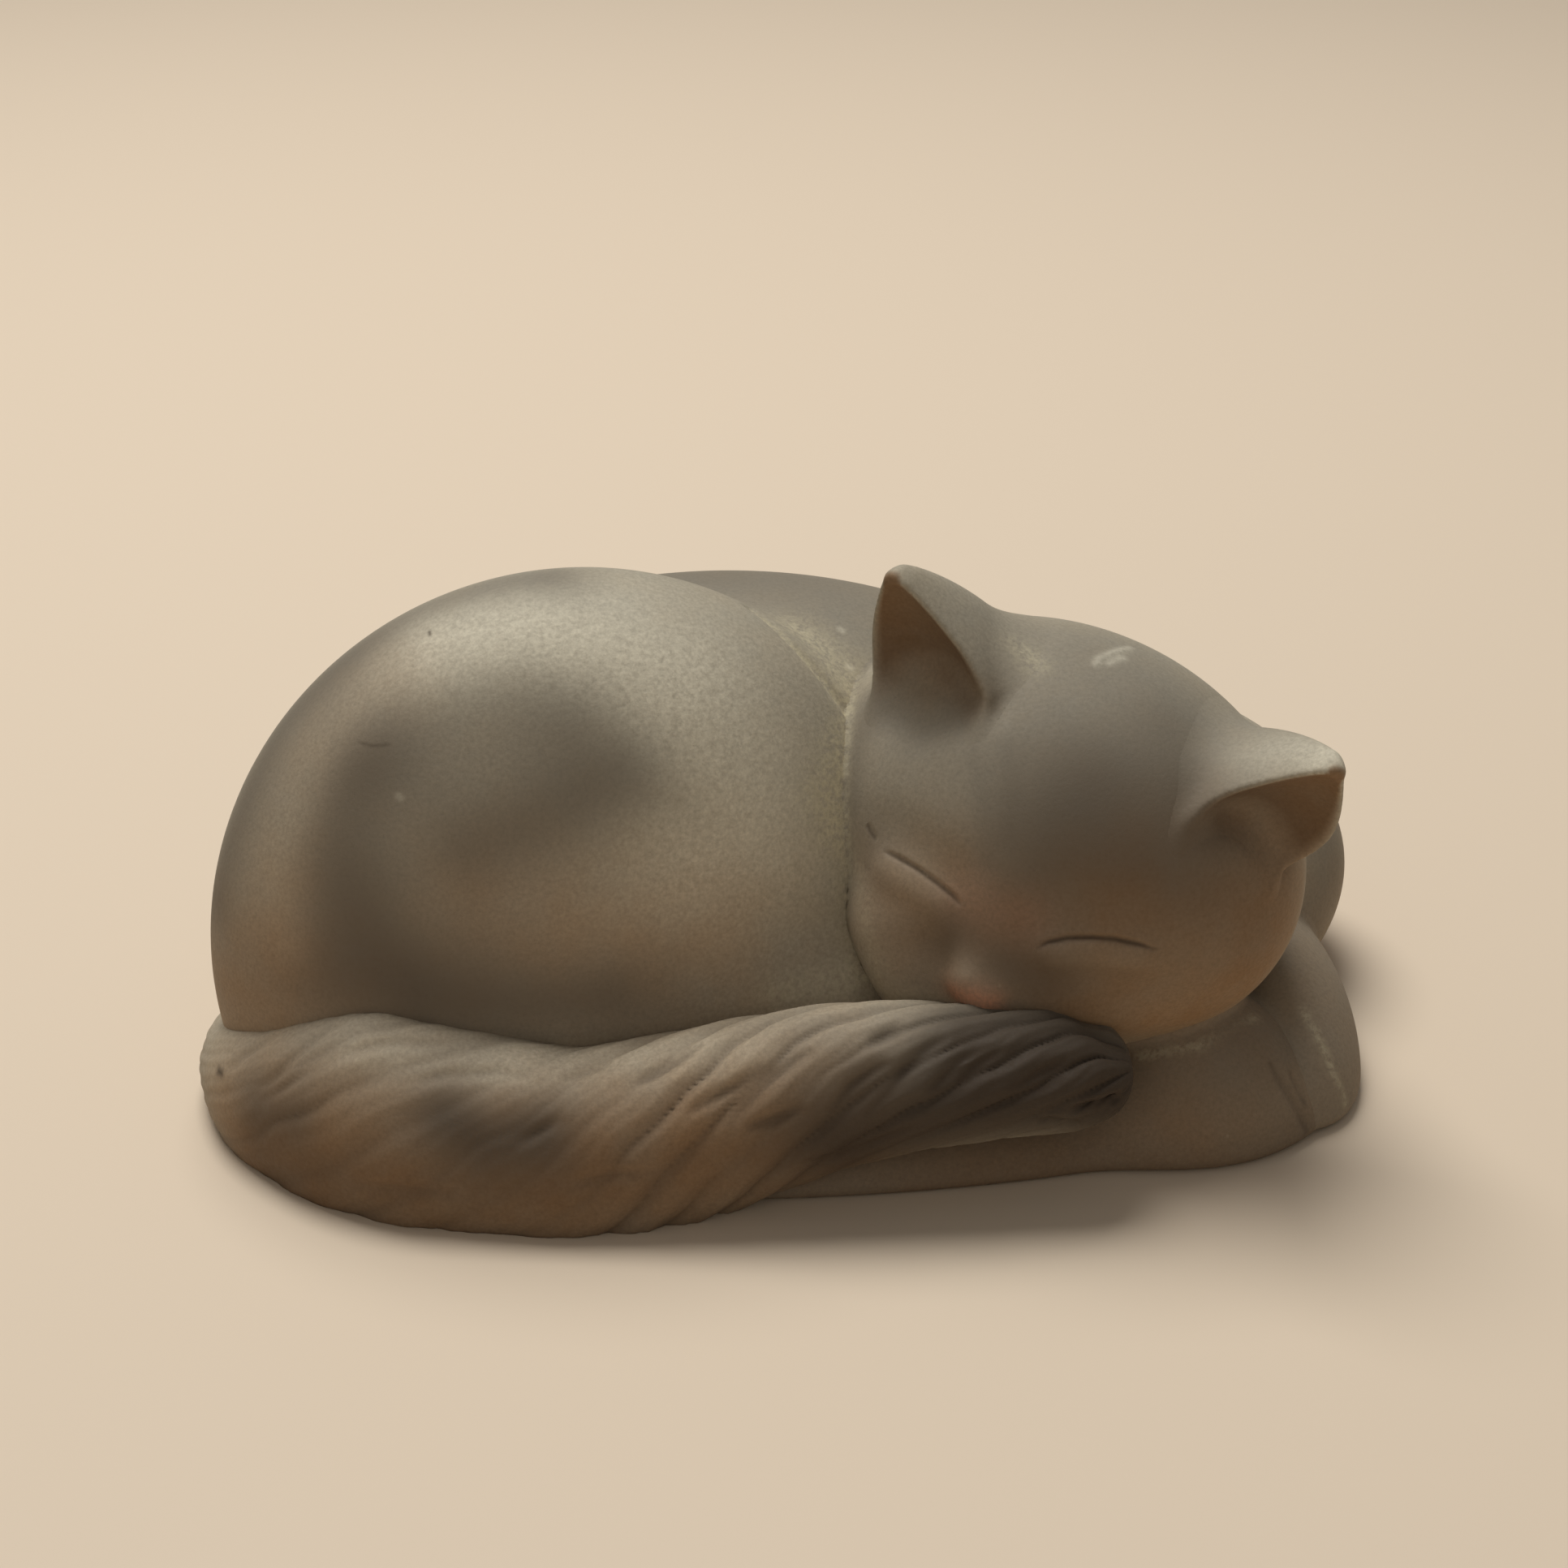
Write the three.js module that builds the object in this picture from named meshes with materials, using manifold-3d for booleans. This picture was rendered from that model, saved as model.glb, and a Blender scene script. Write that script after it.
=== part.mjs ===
// A curled, sleeping cat figurine in unglazed porcelain, in millimetres, +Z up.
// It is made as such figures are: a slip-cast hollow body, a slip-cast hollow head on a neck
// spigot, and solid pressed ears, tail and forelegs, all stuck on with slip before firing.
// The cat lies along X and faces the front, -Y. It stands on its flat underside at Z = 0, and
// the origin is under the middle of the whole figure.
import * as THREE from "three";
import { mergeVertices } from "three/addons/utils/BufferGeometryUtils.js";
import Module from "manifold-3d";

const wasm = await Module();
wasm.setup();

// Casting and luting
const BODY_WALL = 3.2;
const HEAD_WALL = 3;
const FLOOR_WALL = 3;
const POUR_HOLE_DIAMETER = 16;
const NECK_BORE = 9;
const NECK_WALL = 2;
const NECK_REACH = 2;
const NECK_DROP = 5;
const SLIP_GAP = 0.3;

// Back: the long oval of the torso, whose middle the other masses are placed from
const BACK_LENGTH = 80;
const BACK_DEPTH = 43;
const BACK_TOP = 39.2;
const BACK_WAIST = 12;

// Shoulder: the lower mass behind the head, blended into the back
const SHOULDER_LENGTH = 58;
const SHOULDER_DEPTH = 38;
const SHOULDER_TOP = 27.5;
const SHOULDER_WAIST = 9;
const SHOULDER_RIGHT = 30;
const SHOULDER_BLEND = 8;

// Haunch: the folded hind leg that swells over the front left of the back
const HAUNCH_LENGTH = 61.5;
const HAUNCH_DEPTH = 34;
const HAUNCH_TOP = 45;
const HAUNCH_WAIST = 12;
const HAUNCH_LEFT = 11.8;
const HAUNCH_FORWARD = 10;
const HAUNCH_BLEND = 4;

// Hind foot: the low mass in front of the haunch that the tail and the chin rest against
const FOOT_LENGTH = 40;
const FOOT_DEPTH = 16;
const FOOT_TOP = 15;
const FOOT_WAIST = 5;
const FOOT_RIGHT = 6;
const FOOT_FORWARD = 18.5;
const FOOT_BLEND = 6;

// Head: skull and muzzle in the head's own frame, face towards -Y, turned to lie on one cheek
const SKULL_WIDTH = 42.4;
const SKULL_DEPTH = 33;
const SKULL_HEIGHT = 34.5;
const MUZZLE_WIDTH = 17;
const MUZZLE_DEPTH = 13;
const MUZZLE_HEIGHT = 12;
const MUZZLE_FORWARD = 11.5;
const MUZZLE_DROP = 6;
const FACE_BLEND = 7;
const HEAD_RIGHT = 27.6;
const HEAD_HEIGHT = 22.4;
const HEAD_STANDOFF = 1;
const HEAD_PITCH = 18;
const HEAD_ROLL = 21;
const HEAD_YAW = 27;

// Ears: bowed cones with hollow fronts, each standing between two ends on the skull
const EAR_INNER_END = 8.75;
const EAR_INNER_FORWARD = 7.3;
const EAR_OUTER_END = 17.35;
const EAR_OUTER_FORWARD = 3.7;
const EAR_TIP_OUT = 18.5;
const EAR_TIP_FORWARD = 5.2;
const EAR_TIP_HEIGHT = 21.1;
const EAR_TIP_ROUND = 1;
const EAR_TIP_SLIM = 0.5;
const EAR_GIRTH = 4.6;
const EAR_THICK = 8.2;
const EAR_BULGE = 0.6;
const EAR_BOW = 1.6;
const EAR_HOLLOW = 2.8;
const EAR_ROOT = 4;

// Tail: a tapering roll that hugs the left end and the front, its tip lifted onto the foreleg
const TAIL_DEPTH = 16;
const TAIL_TOP = 13.8;
const TAIL_ROOT_DEPTH = 9;
const TAIL_ROOT_TOP = 10.2;
const TAIL_TIP_DEPTH = 8.5;
const TAIL_TIP_TALL = 7.4;
const TAIL_HEIGHT = 3.5;
const TAIL_STANDOFF = 3.6;
const TAIL_ROOT_SINK = 2;
const TAIL_TIP_RIGHT = 2;
const TAIL_TIP_FORWARD = 19;
const TAIL_TIP_HEIGHT = 10.8;
const TAIL_LIFT_HEIGHT = 9.8;
const TAIL_LIFT_AT = 0.5;
const TAIL_SWELL = 0.3;
const TAIL_ROOT_TURN = 192;
const TAIL_FRONT_TURN = 245;

// Near foreleg: forearm along the front with the paw at its right end
const FOREARM_LENGTH = 72;
const FOREARM_DEPTH = 19;
const FOREARM_HEIGHT = 5;
const NEAR_PAW_LENGTH = 21;
const NEAR_PAW_HEIGHT = 11;
const NEAR_PAW_RIGHT = 22;
const NEAR_LEG_FORWARD = 9.2;
const NEAR_LEG_LEFT = 12;
const PAW_BLEND = 5;

// Far foreleg: lies from the chest to the front round the right end
const FAR_LEG_LENGTH = 34;
const FAR_LEG_WIDTH = 15;
const FAR_LEG_HEIGHT = 11.5;
const FAR_LEG_RIGHT = 19.7;
const FAR_LEG_BEHIND = 2;

// Fineness of the facets
const BODY_FACETS = 13;
const HOLLOW_FACETS = 7;
const HEAD_FACETS = 11;
const LEG_FACETS = 8;
const EAR_FACETS = 8;
const EAR_HOLLOW_FACETS = 16;
const ROUND_FACETS = 24;
const TAIL_RINGS = 44;
const TAIL_STEPS = 5;
const RAY_STEPS = 80;
const RAY_STRIDE = 0.8;
const MERGE_WITHIN = 1e-4;

// Fired and airbrushed colours
const BODY_GREY = 0x86827a;
const HEAD_GREY = 0x8a857d;
const EAR_BROWN = 0x827c74;
const TAIL_GREY = 0x7d7870;
const LEG_GREY = 0x8c867c;
const BISQUE_ROUGHNESS = 0.8;

const rad = THREE.MathUtils.degToRad;
const mix = THREE.MathUtils.lerp;
const vec = (x, y, z) => new THREE.Vector3(x, y, z);
const ORIGIN = vec(0, 0, 0);
const ROOM = 2 * (BACK_LENGTH + SHOULDER_LENGTH);

// Signed distance fields, negative inside
function ellipsoid(centre, radii) {
  return (p) => {
    const q = p.clone().sub(centre).divide(radii);
    const reach = q.length();
    const slope = q.divide(radii).length();
    return slope > 0 ? (reach * (reach - 1)) / slope : -radii.x;
  };
}

function blend(width, ...fields) {
  return (p) =>
    fields
      .map((field) => field(p))
      .reduce((a, b) => {
        const h = Math.max(width - Math.abs(a - b), 0) / width;
        return Math.min(a, b) - (h * h * width) / 4;
      });
}

// How far from start, along direction, the field last reaches the level
function reachOf(field, start, direction, level = 0) {
  let far = ROOM;
  let near = 0;
  let t = far;
  const p = vec(0, 0, 0);
  for (let i = 0; i < RAY_STEPS; i++) {
    p.copy(direction).multiplyScalar(t).add(start);
    const d = field(p) - level;
    if (Math.abs(d) < MERGE_WITHIN) break;
    if (d > 0) far = t;
    else near = t;
    t = d > 0 ? Math.max(t - RAY_STRIDE * d, (near + t) / 2) : (t + far) / 2;
  }
  return t;
}

// A ball of rays from centre, blown out to the field's level
function swell(field, centre, radii, detail, level = 0) {
  const ball = new THREE.IcosahedronGeometry(1, detail);
  const position = ball.getAttribute("position");
  const ray = vec(0, 0, 0);
  for (let i = 0; i < position.count; i++) {
    ray.fromBufferAttribute(position, i).multiply(radii).normalize();
    ray.multiplyScalar(reachOf(field, centre, ray, level)).add(centre);
    position.setXYZ(i, ray.x, ray.y, ray.z);
  }
  return ball;
}

// Closed geometry, placed by a group, to a solid for cutting and joining
function solid(geometry, group) {
  const bare = geometry.clone();
  if (group) bare.applyMatrix4(group.matrixWorld);
  bare.deleteAttribute("normal");
  bare.deleteAttribute("uv");
  const merged = mergeVertices(bare, MERGE_WITHIN);
  return new wasm.Manifold(
    new wasm.Mesh({
      numProp: 3,
      vertProperties: new Float32Array(merged.getAttribute("position").array),
      triVerts: new Uint32Array(merged.index.array),
    }),
  );
}

// A finished solid as a named mesh in the group that places it
function addPiece(group, made, name, colour) {
  const data = made.getMesh();
  const geometry = new THREE.BufferGeometry();
  geometry.setAttribute("position", new THREE.BufferAttribute(data.vertProperties, 3));
  geometry.setIndex(new THREE.BufferAttribute(data.triVerts, 1));
  geometry.applyMatrix4(group.matrixWorld.clone().invert());
  geometry.computeVertexNormals();
  const bisque = new THREE.MeshStandardMaterial({ color: colour, roughness: BISQUE_ROUGHNESS, metalness: 0 });
  const mesh = new THREE.Mesh(geometry, bisque);
  mesh.name = name;
  group.add(mesh);
}

const above = (z) => solid(new THREE.BoxGeometry(ROOM, ROOM, ROOM).translate(0, 0, z + ROOM / 2));
const cylinder = (diameter, length) =>
  new THREE.CylinderGeometry(diameter / 2, diameter / 2, length, ROUND_FACETS);

const cat = new THREE.Group();

// Body
const backCentre = vec(0, 0, BACK_WAIST);
const backRadii = vec(BACK_LENGTH / 2, BACK_DEPTH / 2, BACK_TOP - BACK_WAIST);
const shoulderCentre = vec(SHOULDER_RIGHT, 0, SHOULDER_WAIST);
const shoulderRadii = vec(SHOULDER_LENGTH / 2, SHOULDER_DEPTH / 2, SHOULDER_TOP - SHOULDER_WAIST);
const haunchCentre = vec(-HAUNCH_LEFT, -HAUNCH_FORWARD, HAUNCH_WAIST);
const haunchRadii = vec(HAUNCH_LENGTH / 2, HAUNCH_DEPTH / 2, HAUNCH_TOP - HAUNCH_WAIST);
const footCentre = vec(FOOT_RIGHT, -FOOT_FORWARD, FOOT_WAIST);
const footRadii = vec(FOOT_LENGTH / 2, FOOT_DEPTH / 2, FOOT_TOP - FOOT_WAIST);
const bodyField = blend(
  HAUNCH_BLEND,
  blend(SHOULDER_BLEND, ellipsoid(backCentre, backRadii), ellipsoid(shoulderCentre, shoulderRadii)),
  blend(FOOT_BLEND, ellipsoid(haunchCentre, haunchRadii), ellipsoid(footCentre, footRadii)),
);
const swellBody = (detail, level) => swell(bodyField, backCentre, backRadii, detail, level);
const bodyCutter = solid(swellBody(BODY_FACETS, SLIP_GAP));

// Head
const headGroup = new THREE.Group();
const headStart = vec(HEAD_RIGHT, 0, HEAD_HEIGHT);
const forward = vec(0, -1, 0);
headGroup.position.copy(headStart);
headGroup.position.addScaledVector(forward, reachOf(bodyField, headStart, forward) + HEAD_STANDOFF);
headGroup.rotation.set(rad(HEAD_PITCH), rad(HEAD_ROLL), rad(-HEAD_YAW), "YZX");
cat.add(headGroup);
cat.updateMatrixWorld(true);

const skullRadii = vec(SKULL_WIDTH / 2, SKULL_DEPTH / 2, SKULL_HEIGHT / 2);
const headField = blend(
  FACE_BLEND,
  ellipsoid(ORIGIN, skullRadii),
  ellipsoid(
    vec(0, -MUZZLE_FORWARD, -MUZZLE_DROP),
    vec(MUZZLE_WIDTH / 2, MUZZLE_DEPTH / 2, MUZZLE_HEIGHT / 2),
  ),
);
const swellHead = (detail, level) => solid(swell(headField, ORIGIN, skullRadii, detail, level), headGroup);

// The neck spigot runs from the head's hollow, through the body's wall, into the body's hollow
const neckStart = vec(HEAD_RIGHT, 0, HEAD_HEIGHT - NECK_DROP);
const neckTip = NECK_REACH - reachOf(bodyField, neckStart, forward, -BODY_WALL);
const neckRoot = headGroup.position.y - SKULL_DEPTH / 4;
const neckLength = neckTip - neckRoot;
const neckMiddle = (neckTip + neckRoot) / 2;
const neck = (diameter, spare) =>
  solid(cylinder(diameter, neckLength + spare).translate(neckStart.x, neckMiddle, neckStart.z));
const spigotDiameter = NECK_BORE + 2 * NECK_WALL;
const headHollow = swellHead(HOLLOW_FACETS, -HEAD_WALL).subtract(
  solid(swellBody(BODY_FACETS, SLIP_GAP + HEAD_WALL)),
);
const headSolid = swellHead(HEAD_FACETS)
  .subtract(bodyCutter)
  .add(neck(spigotDiameter, 0))
  .subtract(headHollow)
  .subtract(neck(NECK_BORE, 2 * NECK_REACH));
const headCutter = swellHead(HEAD_FACETS, SLIP_GAP);
addPiece(headGroup, headSolid, "head_casting", HEAD_GREY);

// The body's hollow opens downwards through the pour hole and forwards through the neck hole
const bodyHollow = solid(swellBody(HOLLOW_FACETS, -BODY_WALL)).intersect(above(FLOOR_WALL));
const pourHole = solid(cylinder(POUR_HOLE_DIAMETER, BACK_TOP).rotateX(Math.PI / 2));
const bodySolid = solid(swellBody(BODY_FACETS))
  .intersect(above(0))
  .subtract(bodyHollow)
  .subtract(pourHole)
  .subtract(neck(spigotDiameter + 2 * SLIP_GAP, 2 * NECK_REACH));
addPiece(cat, bodySolid, "body_casting", BODY_GREY);

// Ears, in their own frame: hollow towards +Y, tip up, the outer side at -X on the right ear
const clamp = THREE.MathUtils.clamp;
const earRise = (z, tall) => clamp(z / (tall - EAR_TIP_ROUND), -0.5, 1);
const earHalfWidth = (rise) => EAR_GIRTH * (1 - Math.sign(rise) * Math.abs(rise) ** EAR_BOW);

// A cone with bowed sides and a rounded tip, deeper than it is wide
function earField(tall, side) {
  const top = tall - EAR_TIP_ROUND;
  const tipSlope = (EAR_GIRTH * EAR_BOW) / top;
  return (p) => {
    const rise = earRise(p.z, tall);
    const slope = tipSlope * Math.abs(rise) ** (EAR_BOW - 1);
    const over = p.z - top;
    const across = -side * p.x - 4 * EAR_BULGE * Math.max(rise, 0) * (1 - rise);
    const slim = mix(EAR_GIRTH / EAR_THICK, EAR_TIP_SLIM, rise * Math.abs(rise));
    const girth = Math.hypot(across, p.y * slim);
    const halfWidth = earHalfWidth(rise) - tipSlope * Math.max(over, 0);
    const flank = (girth - halfWidth) / Math.hypot(1, slope);
    const past = over > tipSlope * girth ? Math.hypot(girth, over) : flank;
    return Math.max(past - EAR_TIP_ROUND, -p.z - EAR_ROOT);
  };
}

// What the thumb presses out of an ear's front: a block with a bowed back that shallows upwards
function earHollow(tall, side) {
  const block = new THREE.BoxGeometry(1, 1, 1, EAR_HOLLOW_FACETS, 1, EAR_HOLLOW_FACETS);
  const position = block.getAttribute("position");
  for (let i = 0; i < position.count; i++) {
    const across = 6 * EAR_GIRTH * position.getX(i);
    const z = mix(-2 * EAR_ROOT, tall + EAR_TIP_ROUND, position.getZ(i) + 0.5);
    const rise = earRise(z, tall);
    const edge = earHalfWidth(rise) + EAR_TIP_ROUND;
    const deep = EAR_HOLLOW * (1 - rise) ** 0.7 * (1 - (across / edge) ** 2);
    const back = Math.min(EAR_TIP_ROUND * Math.max(rise, 0) ** 4 - deep, EAR_THICK);
    const x = -side * (across + 4 * EAR_BULGE * Math.max(rise, 0) * (1 - rise));
    position.setXYZ(i, x, position.getY(i) > 0 ? 4 * EAR_THICK : back, z);
  }
  if (side > 0) block.index.array.reverse();
  return block;
}

const onSkull = (x, y) => vec(x, y, reachOf(headField, vec(x, y, 0), vec(0, 0, 1)));
for (const [side, name] of [[-1, "ear_left"], [1, "ear_right"]]) {
  const innerEnd = onSkull(EAR_INNER_END * side, -EAR_INNER_FORWARD);
  const outerEnd = onSkull(EAR_OUTER_END * side, -EAR_OUTER_FORWARD);
  const earFoot = innerEnd.clone().lerp(outerEnd, 0.5);
  const earUp = vec(EAR_TIP_OUT * side, -EAR_TIP_FORWARD, EAR_TIP_HEIGHT).sub(earFoot);
  const tall = earUp.length();
  earUp.normalize();
  const earFront = outerEnd.sub(innerEnd).cross(earUp).multiplyScalar(side).normalize();
  const earGroup = new THREE.Group();
  earGroup.position.copy(earFoot);
  earGroup.quaternion.setFromRotationMatrix(
    new THREE.Matrix4().makeBasis(earFront.clone().cross(earUp), earFront, earUp),
  );
  headGroup.add(earGroup);
  cat.updateMatrixWorld(true);
  const earRadii = vec(EAR_GIRTH, EAR_THICK, tall);
  const outer = swell(earField(tall, side), ORIGIN, earRadii, EAR_FACETS);
  const earSolid = solid(outer, earGroup)
    .subtract(solid(earHollow(tall, side), earGroup))
    .subtract(headCutter)
    .subtract(bodyCutter);
  addPiece(earGroup, earSolid, name, EAR_BROWN);
}

// Tail
const tailStart = vec(0, 0, TAIL_HEIGHT);
const tailPoints = Array.from({ length: TAIL_STEPS + 1 }, (_, i) => {
  const turn = rad(mix(TAIL_ROOT_TURN, TAIL_FRONT_TURN, i / TAIL_STEPS));
  const way = vec(Math.cos(turn), Math.sin(turn), 0);
  const standoff = mix(-TAIL_ROOT_SINK, TAIL_STANDOFF, i / TAIL_STEPS);
  return way.clone().multiplyScalar(reachOf(bodyField, tailStart, way) + standoff).add(tailStart);
});
const tailTip = headGroup.position.clone().add(vec(TAIL_TIP_RIGHT, -TAIL_TIP_FORWARD, 0));
tailTip.setZ(TAIL_TIP_HEIGHT);
const tailLift = tailPoints.at(-1).clone().lerp(tailTip, TAIL_LIFT_AT).setZ(TAIL_LIFT_HEIGHT);
const tailPath = new THREE.CatmullRomCurve3([...tailPoints, tailLift, tailTip]);
const tailLength = tailPath.getLength();

// A ball drawn out along the tail's path, its poles at the root and the tip
function rollTail(grow) {
  const roll = new THREE.SphereGeometry(1, ROUND_FACETS, TAIL_RINGS);
  const position = roll.getAttribute("position");
  for (let i = 0; i < position.count; i++) {
    const p = vec(0, 0, 0).fromBufferAttribute(position, i);
    const along = THREE.MathUtils.clamp((1 - p.y) / 2, 0, 1);
    const fluff = THREE.MathUtils.smoothstep(along, 0, TAIL_SWELL);
    const taper = Math.max(along - TAIL_SWELL, 0) / (1 - TAIL_SWELL);
    const halfDepth = mix(mix(TAIL_ROOT_DEPTH, TAIL_DEPTH, fluff), TAIL_TIP_DEPTH, taper) / 2;
    const rise = mix(TAIL_ROOT_TOP, TAIL_TOP, fluff) - TAIL_HEIGHT;
    const halfTall = mix(rise, TAIL_TIP_TALL / 2, taper);
    const end = Math.min((Math.min(along, 1 - along) * tailLength) / halfDepth, 1);
    const rounding = Math.sqrt(end * (2 - end));
    const tangent = tailPath.getTangentAt(along);
    const side = vec(0, 0, 1).cross(tangent).normalize();
    const up = tangent.clone().cross(side);
    const around = Math.atan2(p.z, p.x);
    const q = tailPath
      .getPointAt(along)
      .addScaledVector(side, (halfDepth * rounding + grow) * Math.cos(around))
      .addScaledVector(up, (halfTall * rounding + grow) * Math.sin(around));
    if (Math.abs(p.y) === 1) q.copy(tailPath.getPointAt(along)).addScaledVector(tangent, -p.y * grow);
    position.setXYZ(i, q.x, q.y, q.z);
  }
  return solid(roll);
}
const tailSolid = rollTail(0).intersect(above(0)).subtract(bodyCutter).subtract(headCutter);
addPiece(cat, tailSolid, "tail", TAIL_GREY);

// Near foreleg
const nearLegGroup = new THREE.Group();
nearLegGroup.position.copy(headGroup.position).add(vec(-NEAR_LEG_LEFT, -NEAR_LEG_FORWARD, 0)).setZ(0);
cat.add(nearLegGroup);
const forearmRadii = vec(FOREARM_LENGTH / 2, FOREARM_DEPTH / 2, FOREARM_HEIGHT);
const nearPawRadii = vec(NEAR_PAW_LENGTH / 2, FOREARM_DEPTH / 2, NEAR_PAW_HEIGHT);
const nearLegField = blend(
  PAW_BLEND,
  ellipsoid(ORIGIN, forearmRadii),
  ellipsoid(vec(NEAR_PAW_RIGHT, 0, 0), nearPawRadii),
);
const nearLegMiddle = vec(NEAR_PAW_RIGHT / 2, 0, 0);
const swellNearLeg = (level) =>
  solid(swell(nearLegField, nearLegMiddle, forearmRadii, LEG_FACETS, level), nearLegGroup);
cat.updateMatrixWorld(true);
const nearLegSolid = swellNearLeg(0)
  .intersect(above(0))
  .subtract(bodyCutter)
  .subtract(headCutter)
  .subtract(rollTail(SLIP_GAP));
addPiece(nearLegGroup, nearLegSolid, "near_foreleg", LEG_GREY);

// Far foreleg
const farLegGroup = new THREE.Group();
farLegGroup.position.copy(headGroup.position).add(vec(FAR_LEG_RIGHT, FAR_LEG_BEHIND, 0)).setZ(0);
cat.add(farLegGroup);
cat.updateMatrixWorld(true);
const farLegRadii = vec(FAR_LEG_WIDTH / 2, FAR_LEG_LENGTH / 2, FAR_LEG_HEIGHT);
const farLegField = ellipsoid(ORIGIN, farLegRadii);
const farLegSolid = solid(swell(farLegField, ORIGIN, farLegRadii, LEG_FACETS), farLegGroup)
  .intersect(above(0))
  .subtract(bodyCutter)
  .subtract(headCutter)
  .subtract(swellNearLeg(SLIP_GAP));
addPiece(farLegGroup, farLegSolid, "far_foreleg", LEG_GREY);

// The origin goes under the middle of the figure
const middle = new THREE.Box3().setFromObject(cat, true).getCenter(vec(0, 0, 0));
cat.position.set(-middle.x, -middle.y, 0);

export default cat;
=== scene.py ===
# A curled, sleeping cat figurine in matte, unglazed porcelain with airbrushed grey markings.
# Cast and pressed pieces are stuck to each other with slip. Shapes are worked out in millimetres
# in the CAD model's own frame, and become metres when a piece's mesh is made.
import math

import bpy
import numpy as np
import openvdb
from mathutils import Euler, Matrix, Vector
from mathutils.bvhtree import BVHTree


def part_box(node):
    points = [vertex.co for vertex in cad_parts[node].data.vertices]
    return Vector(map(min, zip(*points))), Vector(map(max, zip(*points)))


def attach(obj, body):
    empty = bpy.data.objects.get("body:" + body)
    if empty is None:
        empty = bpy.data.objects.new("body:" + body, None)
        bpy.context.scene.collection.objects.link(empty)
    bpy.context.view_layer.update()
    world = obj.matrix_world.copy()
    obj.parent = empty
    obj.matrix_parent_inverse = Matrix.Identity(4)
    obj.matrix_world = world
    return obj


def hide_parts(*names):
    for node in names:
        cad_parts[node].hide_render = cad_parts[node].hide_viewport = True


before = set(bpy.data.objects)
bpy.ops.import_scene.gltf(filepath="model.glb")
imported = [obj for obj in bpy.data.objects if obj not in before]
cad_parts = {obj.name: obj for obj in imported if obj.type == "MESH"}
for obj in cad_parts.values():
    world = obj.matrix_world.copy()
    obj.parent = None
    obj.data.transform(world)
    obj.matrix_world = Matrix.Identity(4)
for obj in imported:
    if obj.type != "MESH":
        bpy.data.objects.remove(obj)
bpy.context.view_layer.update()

# Camera
# It stands in front of the figurine, a little to its left, and looks down on it as the photograph does.
# The place and the focal length were solved from the view's perspective and the figurine's outline.
MM = 0.001
PHOTO_SIDE = 1932
FOCAL_PIXELS = 3400
SENSOR_WIDTH = 36
CAMERA_SPOT = np.array([-34.07, -205.07, 129.0])
LOOK_DOWN = math.radians(26.7)
LOOK_RIGHT = math.radians(9)
SIGHT_START = 120.0
SIGHT_END = 400
SIGHT_STEPS = 150
SIGHT_CARE = 0.7
camera_data = bpy.data.cameras.new("camera")
camera_data.sensor_width = SENSOR_WIDTH
camera_data.lens = SENSOR_WIDTH * FOCAL_PIXELS / PHOTO_SIDE
camera_data.clip_start = 0.01
camera = bpy.data.objects.new("camera", camera_data)
camera.location = CAMERA_SPOT * MM
camera.rotation_euler = (math.pi / 2 - LOOK_DOWN, 0, -LOOK_RIGHT)
bpy.context.collection.objects.link(camera)
bpy.context.scene.camera = camera
bpy.context.scene.view_settings.view_transform = "Standard"
camera_turn = np.array(Euler(camera.rotation_euler).to_matrix())

# Floor and light
# A pale, plain floor. One large soft lamp hangs overhead and a little behind, as the light falls in
# the photograph, with a weak, warm fill from the front and an even, pale world.
FLOOR_SIDE = 4
FLOOR_COLOUR = (0.73, 0.61, 0.47, 1)
FLOOR_ROUGHNESS = 0.7
ROOM_COLOUR = (1, 0.97, 0.93, 1)
ROOM_LIGHT = 0.20
LAMP_TARGET = (0, 0, 0.02)
floor_mesh = bpy.data.meshes.new("floor")
half_floor = FLOOR_SIDE / 2
floor_corners = [(-half_floor, -half_floor, 0), (half_floor, -half_floor, 0)]
floor_corners += [(half_floor, half_floor, 0), (-half_floor, half_floor, 0)]
floor_mesh.from_pydata(floor_corners, [], [(0, 1, 2, 3)])
floor = bpy.data.objects.new("floor", floor_mesh)
bpy.context.collection.objects.link(floor)
floor_paint = bpy.data.materials.new("pale_floor")
floor_paint.use_nodes = True
floor_shader = floor_paint.node_tree.nodes["Principled BSDF"]
floor_shader.inputs["Base Color"].default_value = FLOOR_COLOUR
floor_shader.inputs["Roughness"].default_value = FLOOR_ROUGHNESS
floor_mesh.materials.append(floor_paint)

world = bpy.data.worlds.new("soft_room")
world.use_nodes = True
room = world.node_tree.nodes["Background"]
room.inputs["Color"].default_value = ROOM_COLOUR
room.inputs["Strength"].default_value = ROOM_LIGHT
bpy.context.scene.world = world


def hang_lamp(name, spot, side, power, colour):
    lamp = bpy.data.lights.new(name, "AREA")
    lamp.shape = "DISK"
    lamp.size = side
    lamp.energy = power
    lamp.color = colour
    holder = bpy.data.objects.new(name, lamp)
    holder.location = spot
    holder.rotation_euler = (Vector(LAMP_TARGET) - Vector(spot)).to_track_quat("-Z", "Y").to_euler()
    bpy.context.collection.objects.link(holder)


hang_lamp("overhead", spot=(-0.10, 0.28, 0.75), side=0.5, power=5.5, colour=(1, 0.98, 0.95))
hang_lamp("front_fill", spot=(-0.35, -0.75, 0.45), side=0.7, power=0.7, colour=(1, 0.91, 0.80))

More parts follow.
